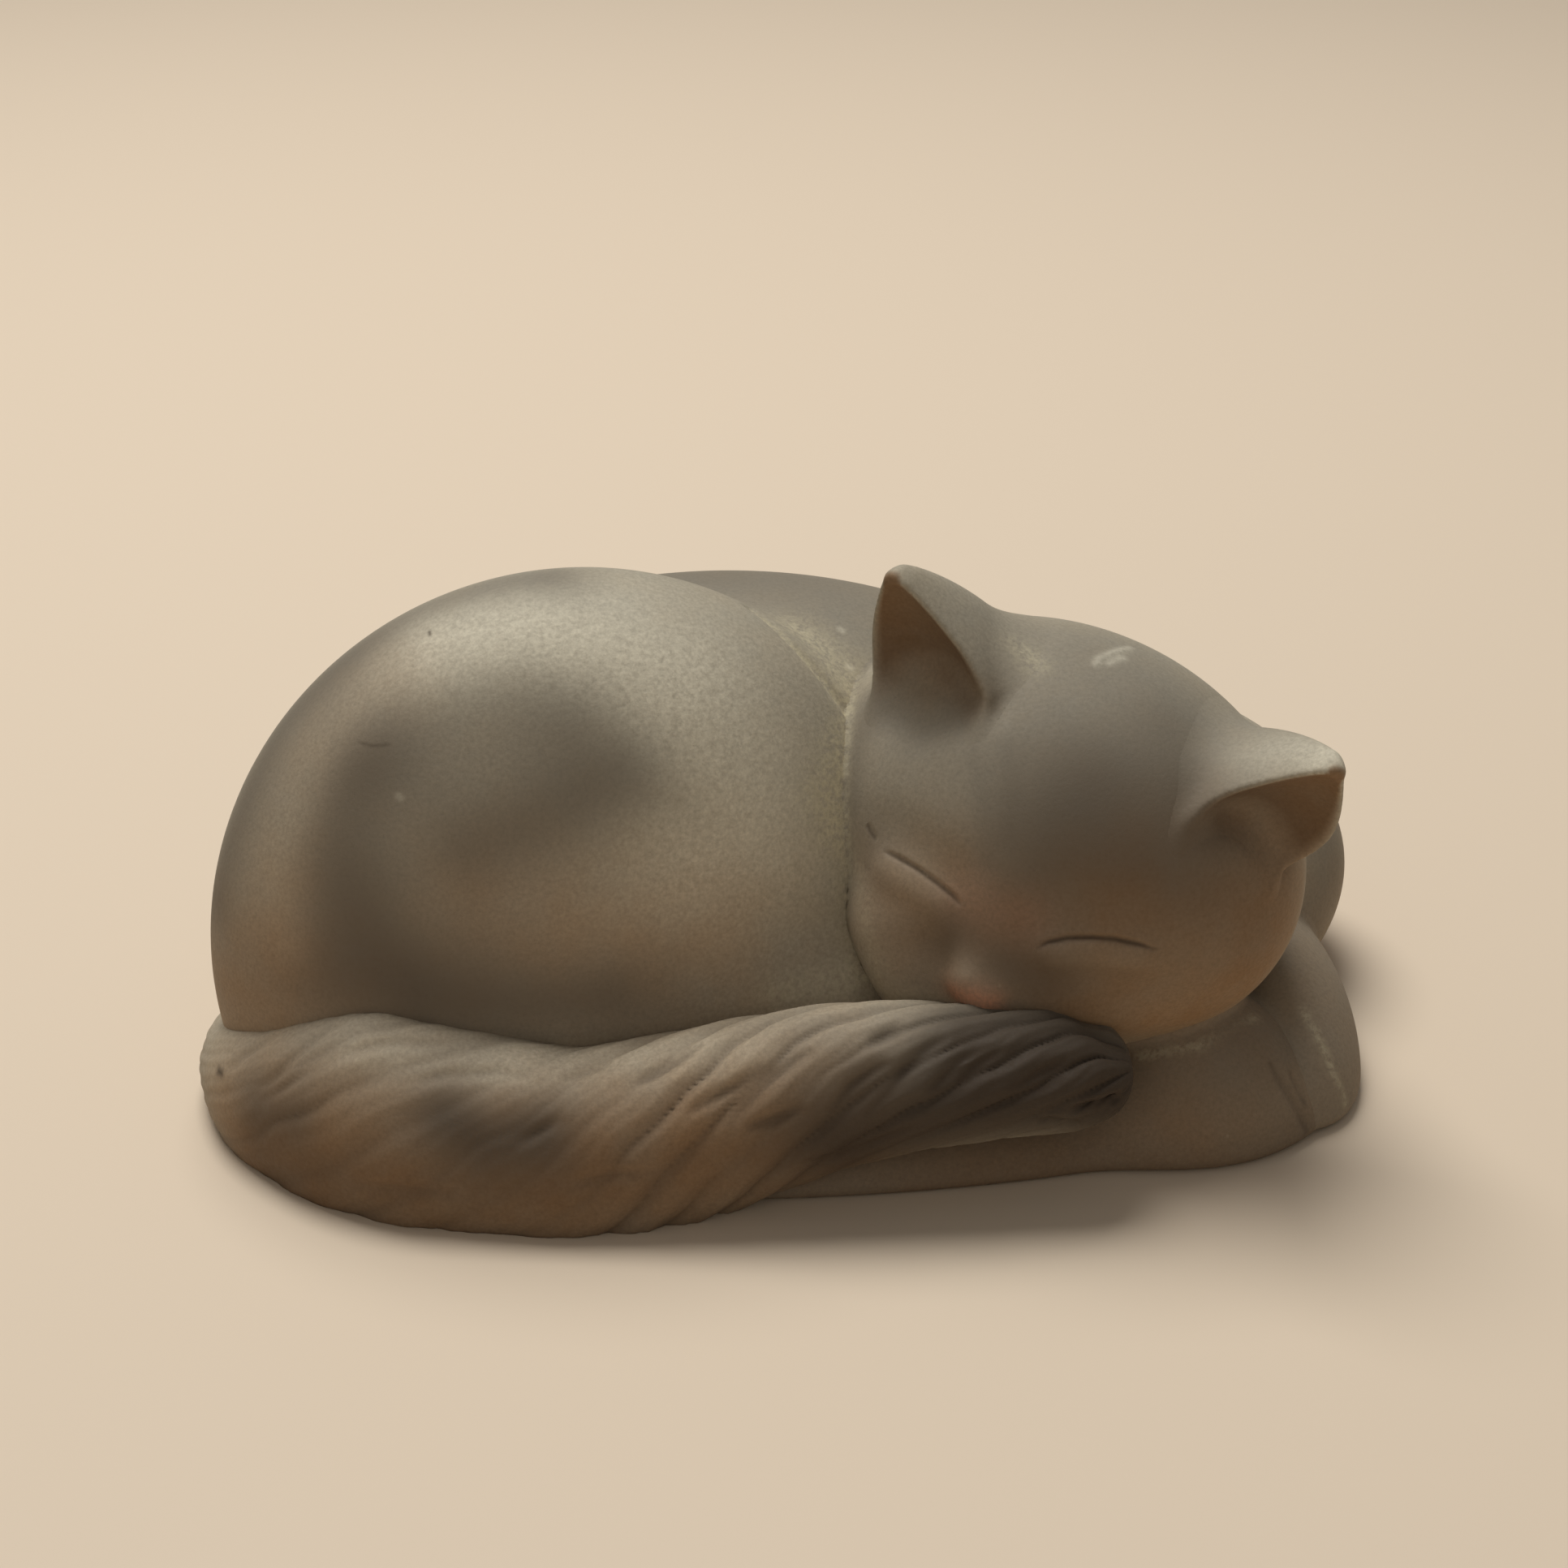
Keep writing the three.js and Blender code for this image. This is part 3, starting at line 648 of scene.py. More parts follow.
def head_detailed(points):
    relief = sum(stroke(points, *touch) for touch in face_relief)
    return head_plain(points) - relief


face_paths = {}


def face_path(pixels):
    """A path on the modelled face, cast once and kept for the pieces that share the face's paint."""
    key = tuple(pixels)
    if key not in face_paths:
        face_paths[key] = seen_on(head_detailed, pixels)
    return face_paths[key]


def luted(piece, base, bead):
    """A piece with its bead of slip, cut off a little way inside what it is stuck to."""
    stuck = np.maximum(join(piece, base + LUTED_INSET, bead), piece - BEAD_SPREAD * bead)
    return np.maximum(stuck, -base - LUTED_DEEP)


def head_rough(points):
    return luted(head_plain(points), body_plain(points), HEAD_BEAD)


def head_shape(points):
    return luted(head_detailed(points), body_plain(points), HEAD_BEAD)


head_points, head_corners = skin(head_rough, *HEAD_BLOCK, HEAD_MESH_STEP)
face_lines = [head_path(line) for line in (LEFT_EYE, LEFT_EYE_TICK, RIGHT_EYE, CROWN_SCUFF, CROWN_DAB)]
for fine in (1.6, 0.9, 0.6):
    near_lines = np.min([gap_to(head_points, line)[0] for line in face_lines], axis=0)
    if fine > 1:
        near_lines = np.minimum(near_lines, gap_to(head_points, head_path(NOSE))[0] - 2)
    head_points, head_corners = refine(head_points, head_corners, near_lines < fine)
head_points = settle(head_shape, head_points, 4)


def face_paints(points):
    """The sprayed face with its painted shade and highlights, the same on the head and on what is stuck to
    it.
    """

    def puff(pixels, radius, strength):
        return spray(points, face_path(pixels), radius, strength)

    return {
        "smoke_and_shade": layer(
            puff(FACE_WASH, 14.0, 0.33),
            puff(BRIDGE_GREY, 3.6, 0.5),
            puff(BRIDGE_DARK, 2.8, 0.4),
            puff(BRIDGE_LEFT, 1.8, 0.25),
            puff(FOREHEAD_GREY, 4.8, 0.45),
            puff(FOREHEAD_WIDE, 6.5, 0.36),
            puff(BROW_SHADE, 6.0, 0.32),
            puff(CHEEK_SHADE, 5.0, 0.18),
            puff(EAR_SIDE_SHADE, 4.0, 0.36),
            # Painted shadow in the crevice between the head and the body.
            puff(HEAD_CREVICE, 2.2, 0.42),
            # Painted shade in the dent at the foot of the left ear.
            puff(LEFT_EAR_DENT, 2.6, 0.34),
            puff(FOREHEAD_LEFT, 3.4, 0.14),
            puff(BROW_STRIPE, 0.9, 0.12),
            puff(BROW_STRIPE_RIGHT, 1.0, 0.14),
            puff(CROWN_GREY, 8.0, 0.34),
            # Painted shade down the left side of the face, where it turns away from the light.
            puff(LEFT_CHEEK_SHADE, 2.8, 0.34),
        ),
        "tan_and_bounce_light": layer(
            puff(CHEEK_TAN, 6.5, 0.85),
            puff(BROW_TAN, 7.5, 0.88),
            puff(LEFT_TAN, 6.0, 0.55),
            puff(EYE_CORNER_PINK, 4.6, 0.55),
            puff(LEFT_HOLLOW, 1.6, 0.5),
            puff(LEFT_HOLLOW_LOW, 2.0, 0.3),
            puff(RIGHT_HOLLOW, 2.1, 0.7),
        ),
        "pink": layer(puff(NOSE_PINK, 1.3, 0.85), puff(EYE_CORNER_PINK, 2.4, 0.18)),
        "umber_and_shade": layer(
            fine_line(points, face_path(LEFT_EYE), 0.19, 0.68),
            fine_line(points, face_path(RIGHT_EYE), 0.2, 0.7),
            fine_line(points, face_path(LEFT_EYE_TICK), 0.2, 0.55),
            fine_line(points, face_path(LEFT_EYE_TURN), 0.3, 0.2),
            # Painted shade in the lower corners of the ear hollows.
            puff(LEFT_HOLLOW, 1.2, 0.25),
            puff(RIGHT_HOLLOW, 1.8, 0.3),
        ),
        "dust": layer(
            puff(CREVICE_LOW, 1.2, 0.15),
            puff(EAR_ROOT_SCUFF, 1.2, 0.4),
            puff(CHIN_DUST, 0.5, 0.3),
        ),
        "pale_and_highlight": layer(
            fine_line(points, face_path(CROWN_SCUFF), 0.5, 1.0),
            puff(CROWN_DAB, 0.45, 1.0),
            # Painted highlights on the top of the nose, the muzzle's puff and both lids, where the light
            # catches them.
            puff(NOSE_HIGHLIGHT, 0.9, 0.5),
            puff(MUZZLE_PUFF, 1.8, 0.12),
            puff(RIGHT_LID, 1.0, 0.26),
            puff(LEFT_LID, 1.0, 0.14),
        ),
    }


head_paints = face_paints(head_points)
on_body = np.exp(-((np.maximum(body_plain(head_points), 0) / SEAM_WIDTH) ** 2))
for paint, cover in body_coat(head_points).items():
    share = SEAM_DUST if paint == "dust" else 1
    head_paints[paint] = head_paints[paint] * (1 - on_body) + share * cover * on_body
# Painted shade along the crease where the head meets the body.
head_paints["smoke_and_shade"] = layer(head_paints["smoke_and_shade"], SEAM_SHADE * on_body)
head_bisque = bisque("head_bisque")
head = make_piece("head", head_points, head_corners, head_paints, head_bisque)
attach(head, "root")
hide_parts("head_casting")

# Ears
# Two pressed ears, hollowed in front, set on the skull and drawn down into it with slip. They are not
# quite alike. The hollows are sprayed brown, with painted shade deepening towards their foot. The right ear's
# tip and back are painted pale as a highlight.
EARS = {
    "ear_left": {
        "side": -1, "full": 0,
        "inner": (-8.4, -6.9, 14.0), "outer": (-17.0, -4.4, 9.0), "tip": (-19.4, -5.2, 20.6),
    },
    "ear_right": {
        "side": 1, "full": 0.25,
        "inner": (9.1, -7.7, 13.2), "outer": (17.7, -3.0, 8.9), "tip": (18.2, -5.2, 21.7),
    },
}
EAR_HALF_WIDTH = 4.6
EAR_HALF_THICK = 8.2
EAR_TIP_ROUND = 1.0
EAR_TIP_SLIM = 0.5
EAR_BOW = 1.6
EAR_BULGE = 0.6
EAR_HOLLOW = 2.8
EAR_BACK_BEAD = 2.4
EAR_FRONT_BEAD = 1.2
EAR_BACK_SET = 0.5
EAR_RIM = 0.7
EAR_HOLLOW_FILLET = 3.6
EAR_FOOT_FRONT = 5
EAR_BEAD_TURN = 4.5
EAR_EDGE_SHARE = 0.9
EAR_TIP_SET = 0.8
EAR_HOLLOW_FADE = 0.7
EAR_ROOM = 6
HOLLOW_TAN = 0.96
HOLLOW_SMOKE = 0.42
HOLLOW_DEPTH_SHADE = 0.4
EAR_MESH_STEP = 0.3
EAR_FOLD = [(1096, 786), (1116, 779), (1142, 786)]
RIGHT_TIP_HIGHLIGHT = [(1622, 938), (1646, 930)]
RIGHT_BACK_HIGHLIGHT = [(1540, 930), (1590, 926), (1636, 930)]
ear_bisque = bisque("ear_bisque")

for name, ends in EARS.items():
    ear_foot = (np.array(ends["inner"]) + ends["outer"]) / 2
    upward = np.array(ends["tip"]) - ear_foot
    ear_tall = np.linalg.norm(upward)
    upward = upward / ear_tall
    outward = np.array(ends["outer"]) - ends["inner"]
    outward = outward - upward * (outward @ upward)
    outward = outward / np.linalg.norm(outward)
    ear_axes = np.stack([outward, np.cross(outward, upward) * ends["side"], upward], 1)

    def ear_parts(points):
        """Distances to the ear's outside and to its hollow's face, with the place across, behind and up."""
        across, through, up = ((in_head(points) - ear_foot) @ ear_axes).T
        top = ear_tall - EAR_TIP_ROUND
        rise = np.clip(up / top, -0.5, 1)
        bow = np.abs(rise) ** EAR_BOW
        across = across - EAR_BULGE * 4 * np.maximum(rise, 0) * (1 - rise)
        fuller = 1 + ends["full"] * 4 * np.maximum(rise, 0) * (1 - rise)
        across = np.where(across > 0, across / fuller, across)
        slope = EAR_HALF_WIDTH * EAR_BOW * np.abs(rise) ** (EAR_BOW - 1) / top
        tip_slope = EAR_HALF_WIDTH * EAR_BOW / top
        over = up - top
        flat = EAR_HALF_WIDTH / EAR_HALF_THICK
        squeeze = flat + (EAR_TIP_SLIM - flat) * rise * np.abs(rise)
        girth = np.hypot(across, (through + EAR_BACK_SET * (1 - rise)) * squeeze)
        half = EAR_HALF_WIDTH * (1 - bow) - tip_slope * np.maximum(over, 0)
        sides = (girth - half) / np.sqrt(1 + slope ** 2)
        outside = np.where(over > tip_slope * girth, np.hypot(girth, over), sides) - EAR_TIP_ROUND
        edge = EAR_HALF_WIDTH * (1 - bow) + EAR_EDGE_SHARE * EAR_TIP_ROUND
        deep = EAR_HOLLOW * np.maximum(1 - rise, 0) ** EAR_HOLLOW_FADE
        at_tip = EAR_TIP_SET * EAR_TIP_ROUND * np.maximum(rise, 0) ** 4
        front = through - at_tip + deep * (1 - (across / edge) ** 2)
        front = front / np.sqrt(1 + (2 * deep * across / edge ** 2) ** 2)
        return outside, front, np.abs(across) / edge, through, rise

    def ear_shape(points):
        outside, front, _, through, _ = ear_parts(points)
        back = np.clip(-through / EAR_BEAD_TURN, 0, 1)
        bead = EAR_FRONT_BEAD + (EAR_BACK_BEAD - EAR_FRONT_BEAD) * back * back * (3 - 2 * back)
        skull = head_detailed(points)
        hollow = join(front, skull + LUTED_INSET, EAR_HOLLOW_FILLET)
        return np.maximum(cut(luted(outside, skull, bead), -hollow, EAR_RIM), front - EAR_FOOT_FRONT)

    low, high = np.array(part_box(name)) / MM
    ear_points, ear_corners = skin(ear_shape, low - EAR_ROOM, high + EAR_ROOM, EAR_MESH_STEP)
    ear_points = settle(ear_shape, ear_points)
    _, front, aside, _, rise = ear_parts(ear_points)
    in_hollow = np.exp(-((np.minimum(front, 0) / 0.45) ** 2)) * np.clip((1 - aside) / 0.2, 0, 1)
    in_hollow = in_hollow * np.clip(head_plain(ear_points) / 2.0, 0, 1)
    ear_paints = face_paints(ear_points)
    ear_paints["tan_and_bounce_light"] = layer(ear_paints["tan_and_bounce_light"], HOLLOW_TAN * in_hollow)
    ear_paints["smoke_and_shade"] = layer(ear_paints["smoke_and_shade"], HOLLOW_SMOKE * in_hollow)
    # Painted shade, deepening towards the foot of the hollow.
    ear_paints["umber_and_shade"] = layer(ear_paints["umber_and_shade"], HOLLOW_DEPTH_SHADE * in_hollow * np.clip(1 - rise, 0, 1))
    if ends["side"] < 0:
        fold = stroke(ear_points, seen_on(ear_shape, EAR_FOLD), width=0.5, height=0.25, fade=0.4)
        ear_points = ear_points + fold[:, None] * slope_of(ear_shape, ear_points)
    else:
        # Painted highlight on the right ear's tip and back, where the light falls.
        tip_highlight = spray(ear_points, seen_on(ear_shape, RIGHT_TIP_HIGHLIGHT), 1.2, 0.5)
        back_highlight = spray(ear_points, seen_on(ear_shape, RIGHT_BACK_HIGHLIGHT), 2.6, 0.45)
        ear_paints["pale_and_highlight"] = layer(ear_paints["pale_and_highlight"], tip_highlight, back_highlight * (1 - in_hollow))
    ear = make_piece(name + "_press", ear_points, ear_corners, ear_paints, ear_bisque)
    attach(ear, "root")
    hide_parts(name)

# Near foreleg
# A solid, pressed forearm along the front with its paw at the right end, under the chin. It is stuck
# to the body and the head, and the toes are pressed in with a tool.
NEAR_LEG_SPOT = np.array([8.079, -16.888, 0])
FOREARM_HALF = (36, 9.5, 5)
NEAR_PAW_HALF = (10.5, 9.5, 11)
NEAR_PAW_RIGHT = 22
PAW_BLEND = 5
LEG_BEAD = 1.0
LEG_MESH_STEP = 0.4
LEG_ROOM = 2
LEG_SMOKE = 0.4
NEAR_LEG_TAN = 0.5
NEAR_LEG_FLOOR_SHADE = 0.3
NEAR_LEG_FLOOR_SHADE_TOP = 4
NEAR_TOE = [(1566, 1312), (1586, 1340), (1602, 1368), (1610, 1394)]
NEAR_TOE_SMALL = [(1590, 1322), (1600, 1340), (1608, 1360)]
PAW_FOLD = [(1600, 1246), (1618, 1280), (1634, 1318), (1652, 1362)]
LEG_CHIN_DUST = [(1404, 1302), (1477, 1289), (1548, 1254)]
LEG_SHADE = [(1420, 1320), (1500, 1310), (1560, 1280)]
LEG_LOW_TAN = [(1180, 1450), (1320, 1430), (1460, 1410)]
leg_bisque = bisque("leg_bisque")


def near_leg_plain(points):
    forearm = oval(points, NEAR_LEG_SPOT, FOREARM_HALF)
    paw = oval(points, NEAR_LEG_SPOT + (NEAR_PAW_RIGHT, 0, 0), NEAR_PAW_HALF)
    return join(forearm, paw, PAW_BLEND)


near_relief = [
    (seen_on(near_leg_plain, NEAR_TOE), 0.5, -0.5, 0.35),
    (seen_on(near_leg_plain, NEAR_TOE_SMALL), 0.4, -0.3, 0.4),
    (seen_on(near_leg_plain, PAW_FOLD), 0.45, -0.35, 0.3),
]


def near_leg_shape(points):
    leg = near_leg_plain(points) - sum(stroke(points, *touch) for touch in near_relief)
    stuck = luted(leg, np.minimum(body_plain(points), head_plain(points)), LEG_BEAD)
    return cut(stuck, points[:, 2], BASE_ROUNDING)


low, high = np.array(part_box("near_foreleg")) / MM
near_points, near_corners = skin(near_leg_shape, low - LEG_ROOM, high + LEG_ROOM, LEG_MESH_STEP)
near_lines = np.min([gap_to(near_points, touch[0])[0] for touch in near_relief], axis=0)
near_points, near_corners = refine(near_points, near_corners, near_lines < 1.4)
near_points = settle(near_leg_shape, near_points)


def on_near_leg(pixels, radius, strength):
    return spray(near_points, seen_on(near_leg_plain, pixels), radius, strength)


near_paints = {
    "smoke_and_shade": layer(np.full(len(near_points), LEG_SMOKE), on_near_leg(LEG_SHADE, 4.0, 0.2)),
    "tan_and_bounce_light": layer(np.full(len(near_points), NEAR_LEG_TAN), on_near_leg(LEG_LOW_TAN, 4.0, 0.5)),
    "umber_and_shade": layer(
        # Painted shade in the pressed toe creases.
        on_near_leg(NEAR_TOE, 0.35, 0.4),
        on_near_leg(NEAR_TOE_SMALL, 0.3, 0.3),
        # Painted shade along the bottom, where the leg meets the floor.
        NEAR_LEG_FLOOR_SHADE * np.clip(1 - near_points[:, 2] / NEAR_LEG_FLOOR_SHADE_TOP, 0, 1),
    ),
    "dust": layer(on_near_leg(LEG_CHIN_DUST, 0.5, 0.4), on_near_leg(PAW_FOLD, 0.35, 0.6)),
}
near_leg = make_piece("near_leg", near_points, near_corners, near_paints, leg_bisque)
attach(near_leg, "root")
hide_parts("near_foreleg")

# Far foreleg
# The other pressed foreleg, from the chest round the right end to the front, beside the near paw.
# It is stuck to the body, the head and the near paw, with a fold of slip between the paws.
FAR_LEG_SPOT = np.array([39.779, -5.688, 0])
FAR_LEG_HALF = (7.5, 17, 11.5)
FAR_LEG_TAN = 0.35
FAR_FOLD_DUST = [(1606, 1245), (1626, 1282), (1642, 1320), (1658, 1360)]


def far_leg_plain(points):
    return oval(points, FAR_LEG_SPOT, FAR_LEG_HALF)


def far_leg_shape(points):
    beside = np.minimum(np.minimum(body_plain(points), head_plain(points)), near_leg_plain(points))
    return cut(luted(far_leg_plain(points), beside, LEG_BEAD), points[:, 2], BASE_ROUNDING)


low, high = np.array(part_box("far_foreleg")) / MM
far_points, far_corners = skin(far_leg_shape, low - LEG_ROOM, high + LEG_ROOM, LEG_MESH_STEP)
far_points = settle(far_leg_shape, far_points)
far_paints = {
    "smoke_and_shade": np.full(len(far_points), LEG_SMOKE),
    "tan_and_bounce_light": np.full(len(far_points), FAR_LEG_TAN),
    "dust": spray(far_points, seen_on(far_leg_plain, FAR_FOLD_DUST), 0.35, 0.5),
}
far_leg = make_piece("far_leg", far_points, far_corners, far_paints, leg_bisque)
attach(far_leg, "root")
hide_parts("far_foreleg")

# Tail
# A solid, pressed roll that hugs the left end and the front, its tip lifted on to the near foreleg.
# The fur is cut into the soft clay as slanting locks, then sprayed dark in patches and at the tip. Painted
# shade lies in the grooves and along the bottom, and painted highlights lie along the top.
TAIL_DEPTH = 16
TAIL_TOP = 13.8
TAIL_ROOT_DEPTH = 9
TAIL_ROOT_TOP = 10.2
TAIL_TIP_DEPTH = 9.2
TAIL_TIP_TALL = 8.6
TAIL_END_BLUNT = 0.38
TAIL_HEIGHT = 3.5
TAIL_STANDOFF = 3.6
TAIL_ROOT_SINK = 2
TAIL_TIP_RIGHT = 2
TAIL_TIP_FORWARD = 19
TAIL_TIP_HEIGHT = 10.8
TAIL_LIFT_HEIGHT = 9.8
TAIL_SWELL = 0.3
TAIL_HIDDEN_TURN = math.radians(176)
TAIL_HIDDEN_SINK = 8
TAIL_END_DROP = 0.4
TAIL_END_REACH = 9
TAIL_ROOT_TURN = math.radians(192)
TAIL_FRONT_TURN = math.radians(245)
TAIL_STEPS = 5
TAIL_RINGS = 520
TAIL_AROUND = 150
LOCK_DEPTH = 0.75
LOCK_SPACING = 6.4
LOCKS_AROUND = 11
LOCK_WAVER = 5.0
LOCK_SHARP = 0.6
STRAND_SWING = 6.0
STRAND_DEPTH = 0.05
TAIL_PATH_POINTS = 240
TAIL_GREY_TAN = 0.12
TAIL_FLOOR_SHADE = 0.4
TAIL_FLOOR_SHADE_TOP = 6
TAIL_CUTS_LEFT = {
    "left_top": [(276, 1326), (303, 1300), (348, 1275)],
    "left_long": [(298, 1359), (335, 1332), (385, 1288), (425, 1269)],
    "left_low": [(310, 1368), (353, 1338), (392, 1316)],
    "left_sweep": [(385, 1320), (448, 1299), (512, 1288), (570, 1290)],
    "middle_sweep": [(475, 1342), (539, 1327), (616, 1320), (660, 1330)],
    "middle_short": [(689, 1338), (725, 1320), (768, 1306)],
    "middle_low": [(630, 1411), (666, 1393), (700, 1376)],
    "low_line": [(430, 1456), (500, 1466), (580, 1468)],
    "low_right": [(690, 1462), (760, 1446), (830, 1440)],
}
TAIL_CUTS_RIGHT = {
    "rope_1": [(775, 1338), (803, 1326), (835, 1306), (868, 1284)],
    "rope_2": [(839, 1375), (875, 1356), (912, 1337), (957, 1304)],
    "rope_3": [(890, 1386), (921, 1359), (954, 1326), (979, 1305), (1004, 1290)],
    "rope_4": [(917, 1392), (955, 1380), (995, 1362)],
    "rope_5": [(1018, 1378), (1050, 1338), (1078, 1318), (1100, 1305)],
    "rope_6": [(1062, 1380), (1100, 1338), (1117, 1317), (1146, 1291), (1178, 1272)],
    "rope_7": [(1064, 1290), (1092, 1276), (1120, 1262)],
    "rope_8": [(1140, 1350), (1164, 1328), (1188, 1304), (1218, 1282)],
    "rope_9": [(1175, 1345), (1190, 1328), (1213, 1308), (1244, 1288)],
    "rope_10": [(1240, 1345), (1283, 1322), (1325, 1306)],
    "under_edge": [(985, 1430), (1033, 1424), (1092, 1404), (1136, 1384)],
}
TAIL_CUTS_TIP = {
    "tip_split": [(1306, 1368), (1342, 1364), (1372, 1355), (1384, 1347)],
    "tip_under": [(1275, 1378), (1335, 1386), (1385, 1378)],
}
TAIL_TIP_FLAT = [(1356, 1263), (1374, 1277)]
TIP_PRESS = (0.45, -0.2, 0.87)
TAIL_TIP_END = [(1240, 1330), (1320, 1320), (1390, 1340)]
TAIL_HUMP = [(320, 1266), (386, 1256), (450, 1264)]
TAIL_PIT = [(269, 1321), (273, 1324)]
TAIL_LEFT_WASH = [(310, 1325), (380, 1330), (430, 1350)]
TAIL_DARK_LEFT = [(318, 1368), (362, 1378)]
TAIL_DARK_MIDDLE = [(550, 1378), (600, 1406), (665, 1400)]
TAIL_TIP_LOW = [(1060, 1420), (1140, 1394), (1220, 1378), (1300, 1372), (1372, 1366)]
TAIL_TIP_TOP = [(1196, 1266), (1260, 1256), (1330, 1266)]
TAIL_DARK_STRAND = [(1060, 1332), (1112, 1316), (1180, 1286)]
TAIL_DARK_TIP = [(1040, 1405), (1120, 1380), (1190, 1350), (1260, 1325), (1330, 1322), (1385, 1335)]
TAIL_HIGHLIGHT_LEFT = [(430, 1300), (500, 1314), (570, 1328), (640, 1326)]
TAIL_HIGHLIGHT_MIDDLE = [(600, 1326), (680, 1330), (760, 1312), (840, 1304), (920, 1300)]
TAIL_HIGHLIGHT_EDGE = [(640, 1300), (720, 1297), (800, 1292), (860, 1284)]
TAIL_LOW_TAN_AND_SHADE = [(330, 1430), (480, 1456), (680, 1462), (880, 1440), (1000, 1420)]


def reach_of(shape, start, way):
    """How far from a point inside a shape its surface lies."""
    near, far = 0.0, 200.0
    for _ in range(50):
        middle = (near + far) / 2
        if shape((start + way * middle)[None])[0] < 0:
            near = middle
        else:
            far = middle
    return far


def even_path(knots, count):
    """Evenly spaced points on a smooth curve through the knots, blended from straight runs between them."""
    knots = np.vstack([2 * knots[0] - knots[1], knots, 2 * knots[-1] - knots[-2]])
    run = []
    for i in range(len(knots) - 3):
        p = knots[i:i + 4]
        t = np.concatenate([[0], np.cumsum(np.linalg.norm(np.diff(p, axis=0), axis=1) ** 0.5)])
        s = np.linspace(t[1], t[2], 80)[:, None]
        a = [((t[k + 1] - s) * p[k] + (s - t[k]) * p[k + 1]) / (t[k + 1] - t[k]) for k in range(3)]
        b = [((t[k + 2] - s) * a[k] + (s - t[k]) * a[k + 1]) / (t[k + 2] - t[k]) for k in range(2)]
        run.append(((t[2] - s) * b[0] + (s - t[1]) * b[1]) / (t[2] - t[1]))
    run = np.vstack(run)
    far = np.concatenate([[0], np.cumsum(np.linalg.norm(np.diff(run, axis=0), axis=1))])
    even = np.linspace(0, far[-1], count)
    return np.stack([np.interp(even, far, run[:, k]) for k in range(3)], 1), far[-1]


tail_start = BACK_MIDDLE + (0, 0, TAIL_HEIGHT)
hidden_way = np.array([math.cos(TAIL_HIDDEN_TURN), math.sin(TAIL_HIDDEN_TURN), 0])
hidden_root = tail_start + hidden_way * (reach_of(body_plain, tail_start, hidden_way) - TAIL_HIDDEN_SINK)
tail_knots = [hidden_root]
for i in range(TAIL_STEPS + 1):
    share = i / TAIL_STEPS
    turn = TAIL_ROOT_TURN + (TAIL_FRONT_TURN - TAIL_ROOT_TURN) * share
    way = np.array([math.cos(turn), math.sin(turn), 0])
    standoff = -TAIL_ROOT_SINK + (TAIL_STANDOFF + TAIL_ROOT_SINK) * share
    tail_knots.append(tail_start + way * (reach_of(body_plain, tail_start, way) + standoff))
tail_tip = HEAD_MIDDLE * (1, 1, 0) + (TAIL_TIP_RIGHT, -TAIL_TIP_FORWARD, TAIL_TIP_HEIGHT)
tail_lift = (tail_knots[-1] + tail_tip) / 2 * (1, 1, 0) + (0, 0, TAIL_LIFT_HEIGHT)
tail_run, tail_length = even_path(np.array(tail_knots + [tail_lift, tail_tip]), TAIL_PATH_POINTS)
hidden_share = np.argmin(np.linalg.norm(tail_run - tail_knots[1], axis=1)) / (len(tail_run) - 1)
swell_share = hidden_share + TAIL_SWELL * (1 - hidden_share)

tail_bisque = bisque("tail_bisque")
roll = bpy.data.node_groups.new("rolled_tail", "GeometryNodeTree")
roll.interface.new_socket("Path", in_out="INPUT", socket_type="NodeSocketGeometry")
roll_sizes = {
    "Length": tail_length,
    "Root depth": TAIL_ROOT_DEPTH,
    "Full depth": TAIL_DEPTH,
    "Tip depth": TAIL_TIP_DEPTH,
    "Root rise": TAIL_ROOT_TOP - TAIL_HEIGHT,
    "Full rise": TAIL_TOP - TAIL_HEIGHT,
    "Tip rise": TAIL_TIP_TALL / 2,
    "Hidden": hidden_share,
    "Swell": swell_share,
    "Lock depth": LOCK_DEPTH,
    "Lock spacing": LOCK_SPACING,
    "Locks around": LOCKS_AROUND,
}
for label in roll_sizes:
    roll.interface.new_socket(label, in_out="INPUT", socket_type="NodeSocketFloat")
roll.interface.new_socket("Geometry", in_out="OUTPUT", socket_type="NodeSocketGeometry")
given = roll.nodes.new("NodeGroupInput").outputs


def step(kind, sockets, output=0, **settings):
    made = roll.nodes.new(kind)
    for key, value in settings.items():
        setattr(made, key, value)
    for key, value in sockets.items():
        if isinstance(value, bpy.types.NodeSocket):
            roll.links.new(value, made.inputs[key])
        else:
            made.inputs[key].default_value = value
    return made.outputs[output]


def calc(operation, *values):
    return step("ShaderNodeMath", dict(enumerate(values)), operation=operation)


def aim(operation, *values):
    return step("ShaderNodeVectorMath", dict(enumerate(values)), operation=operation)


def grade(value, low, high, to_low, to_high, kind="LINEAR"):
    sockets = {0: value, 1: low, 2: high, 3: to_low, 4: to_high}
    return step("ShaderNodeMapRange", sockets, interpolation_type=kind)


def between(share, low, high):
    return step("ShaderNodeMix", {0: share, 2: low, 3: high})


def scaled(way, size):
    return step("ShaderNodeVectorMath", {0: way, "Scale": size}, operation="SCALE")


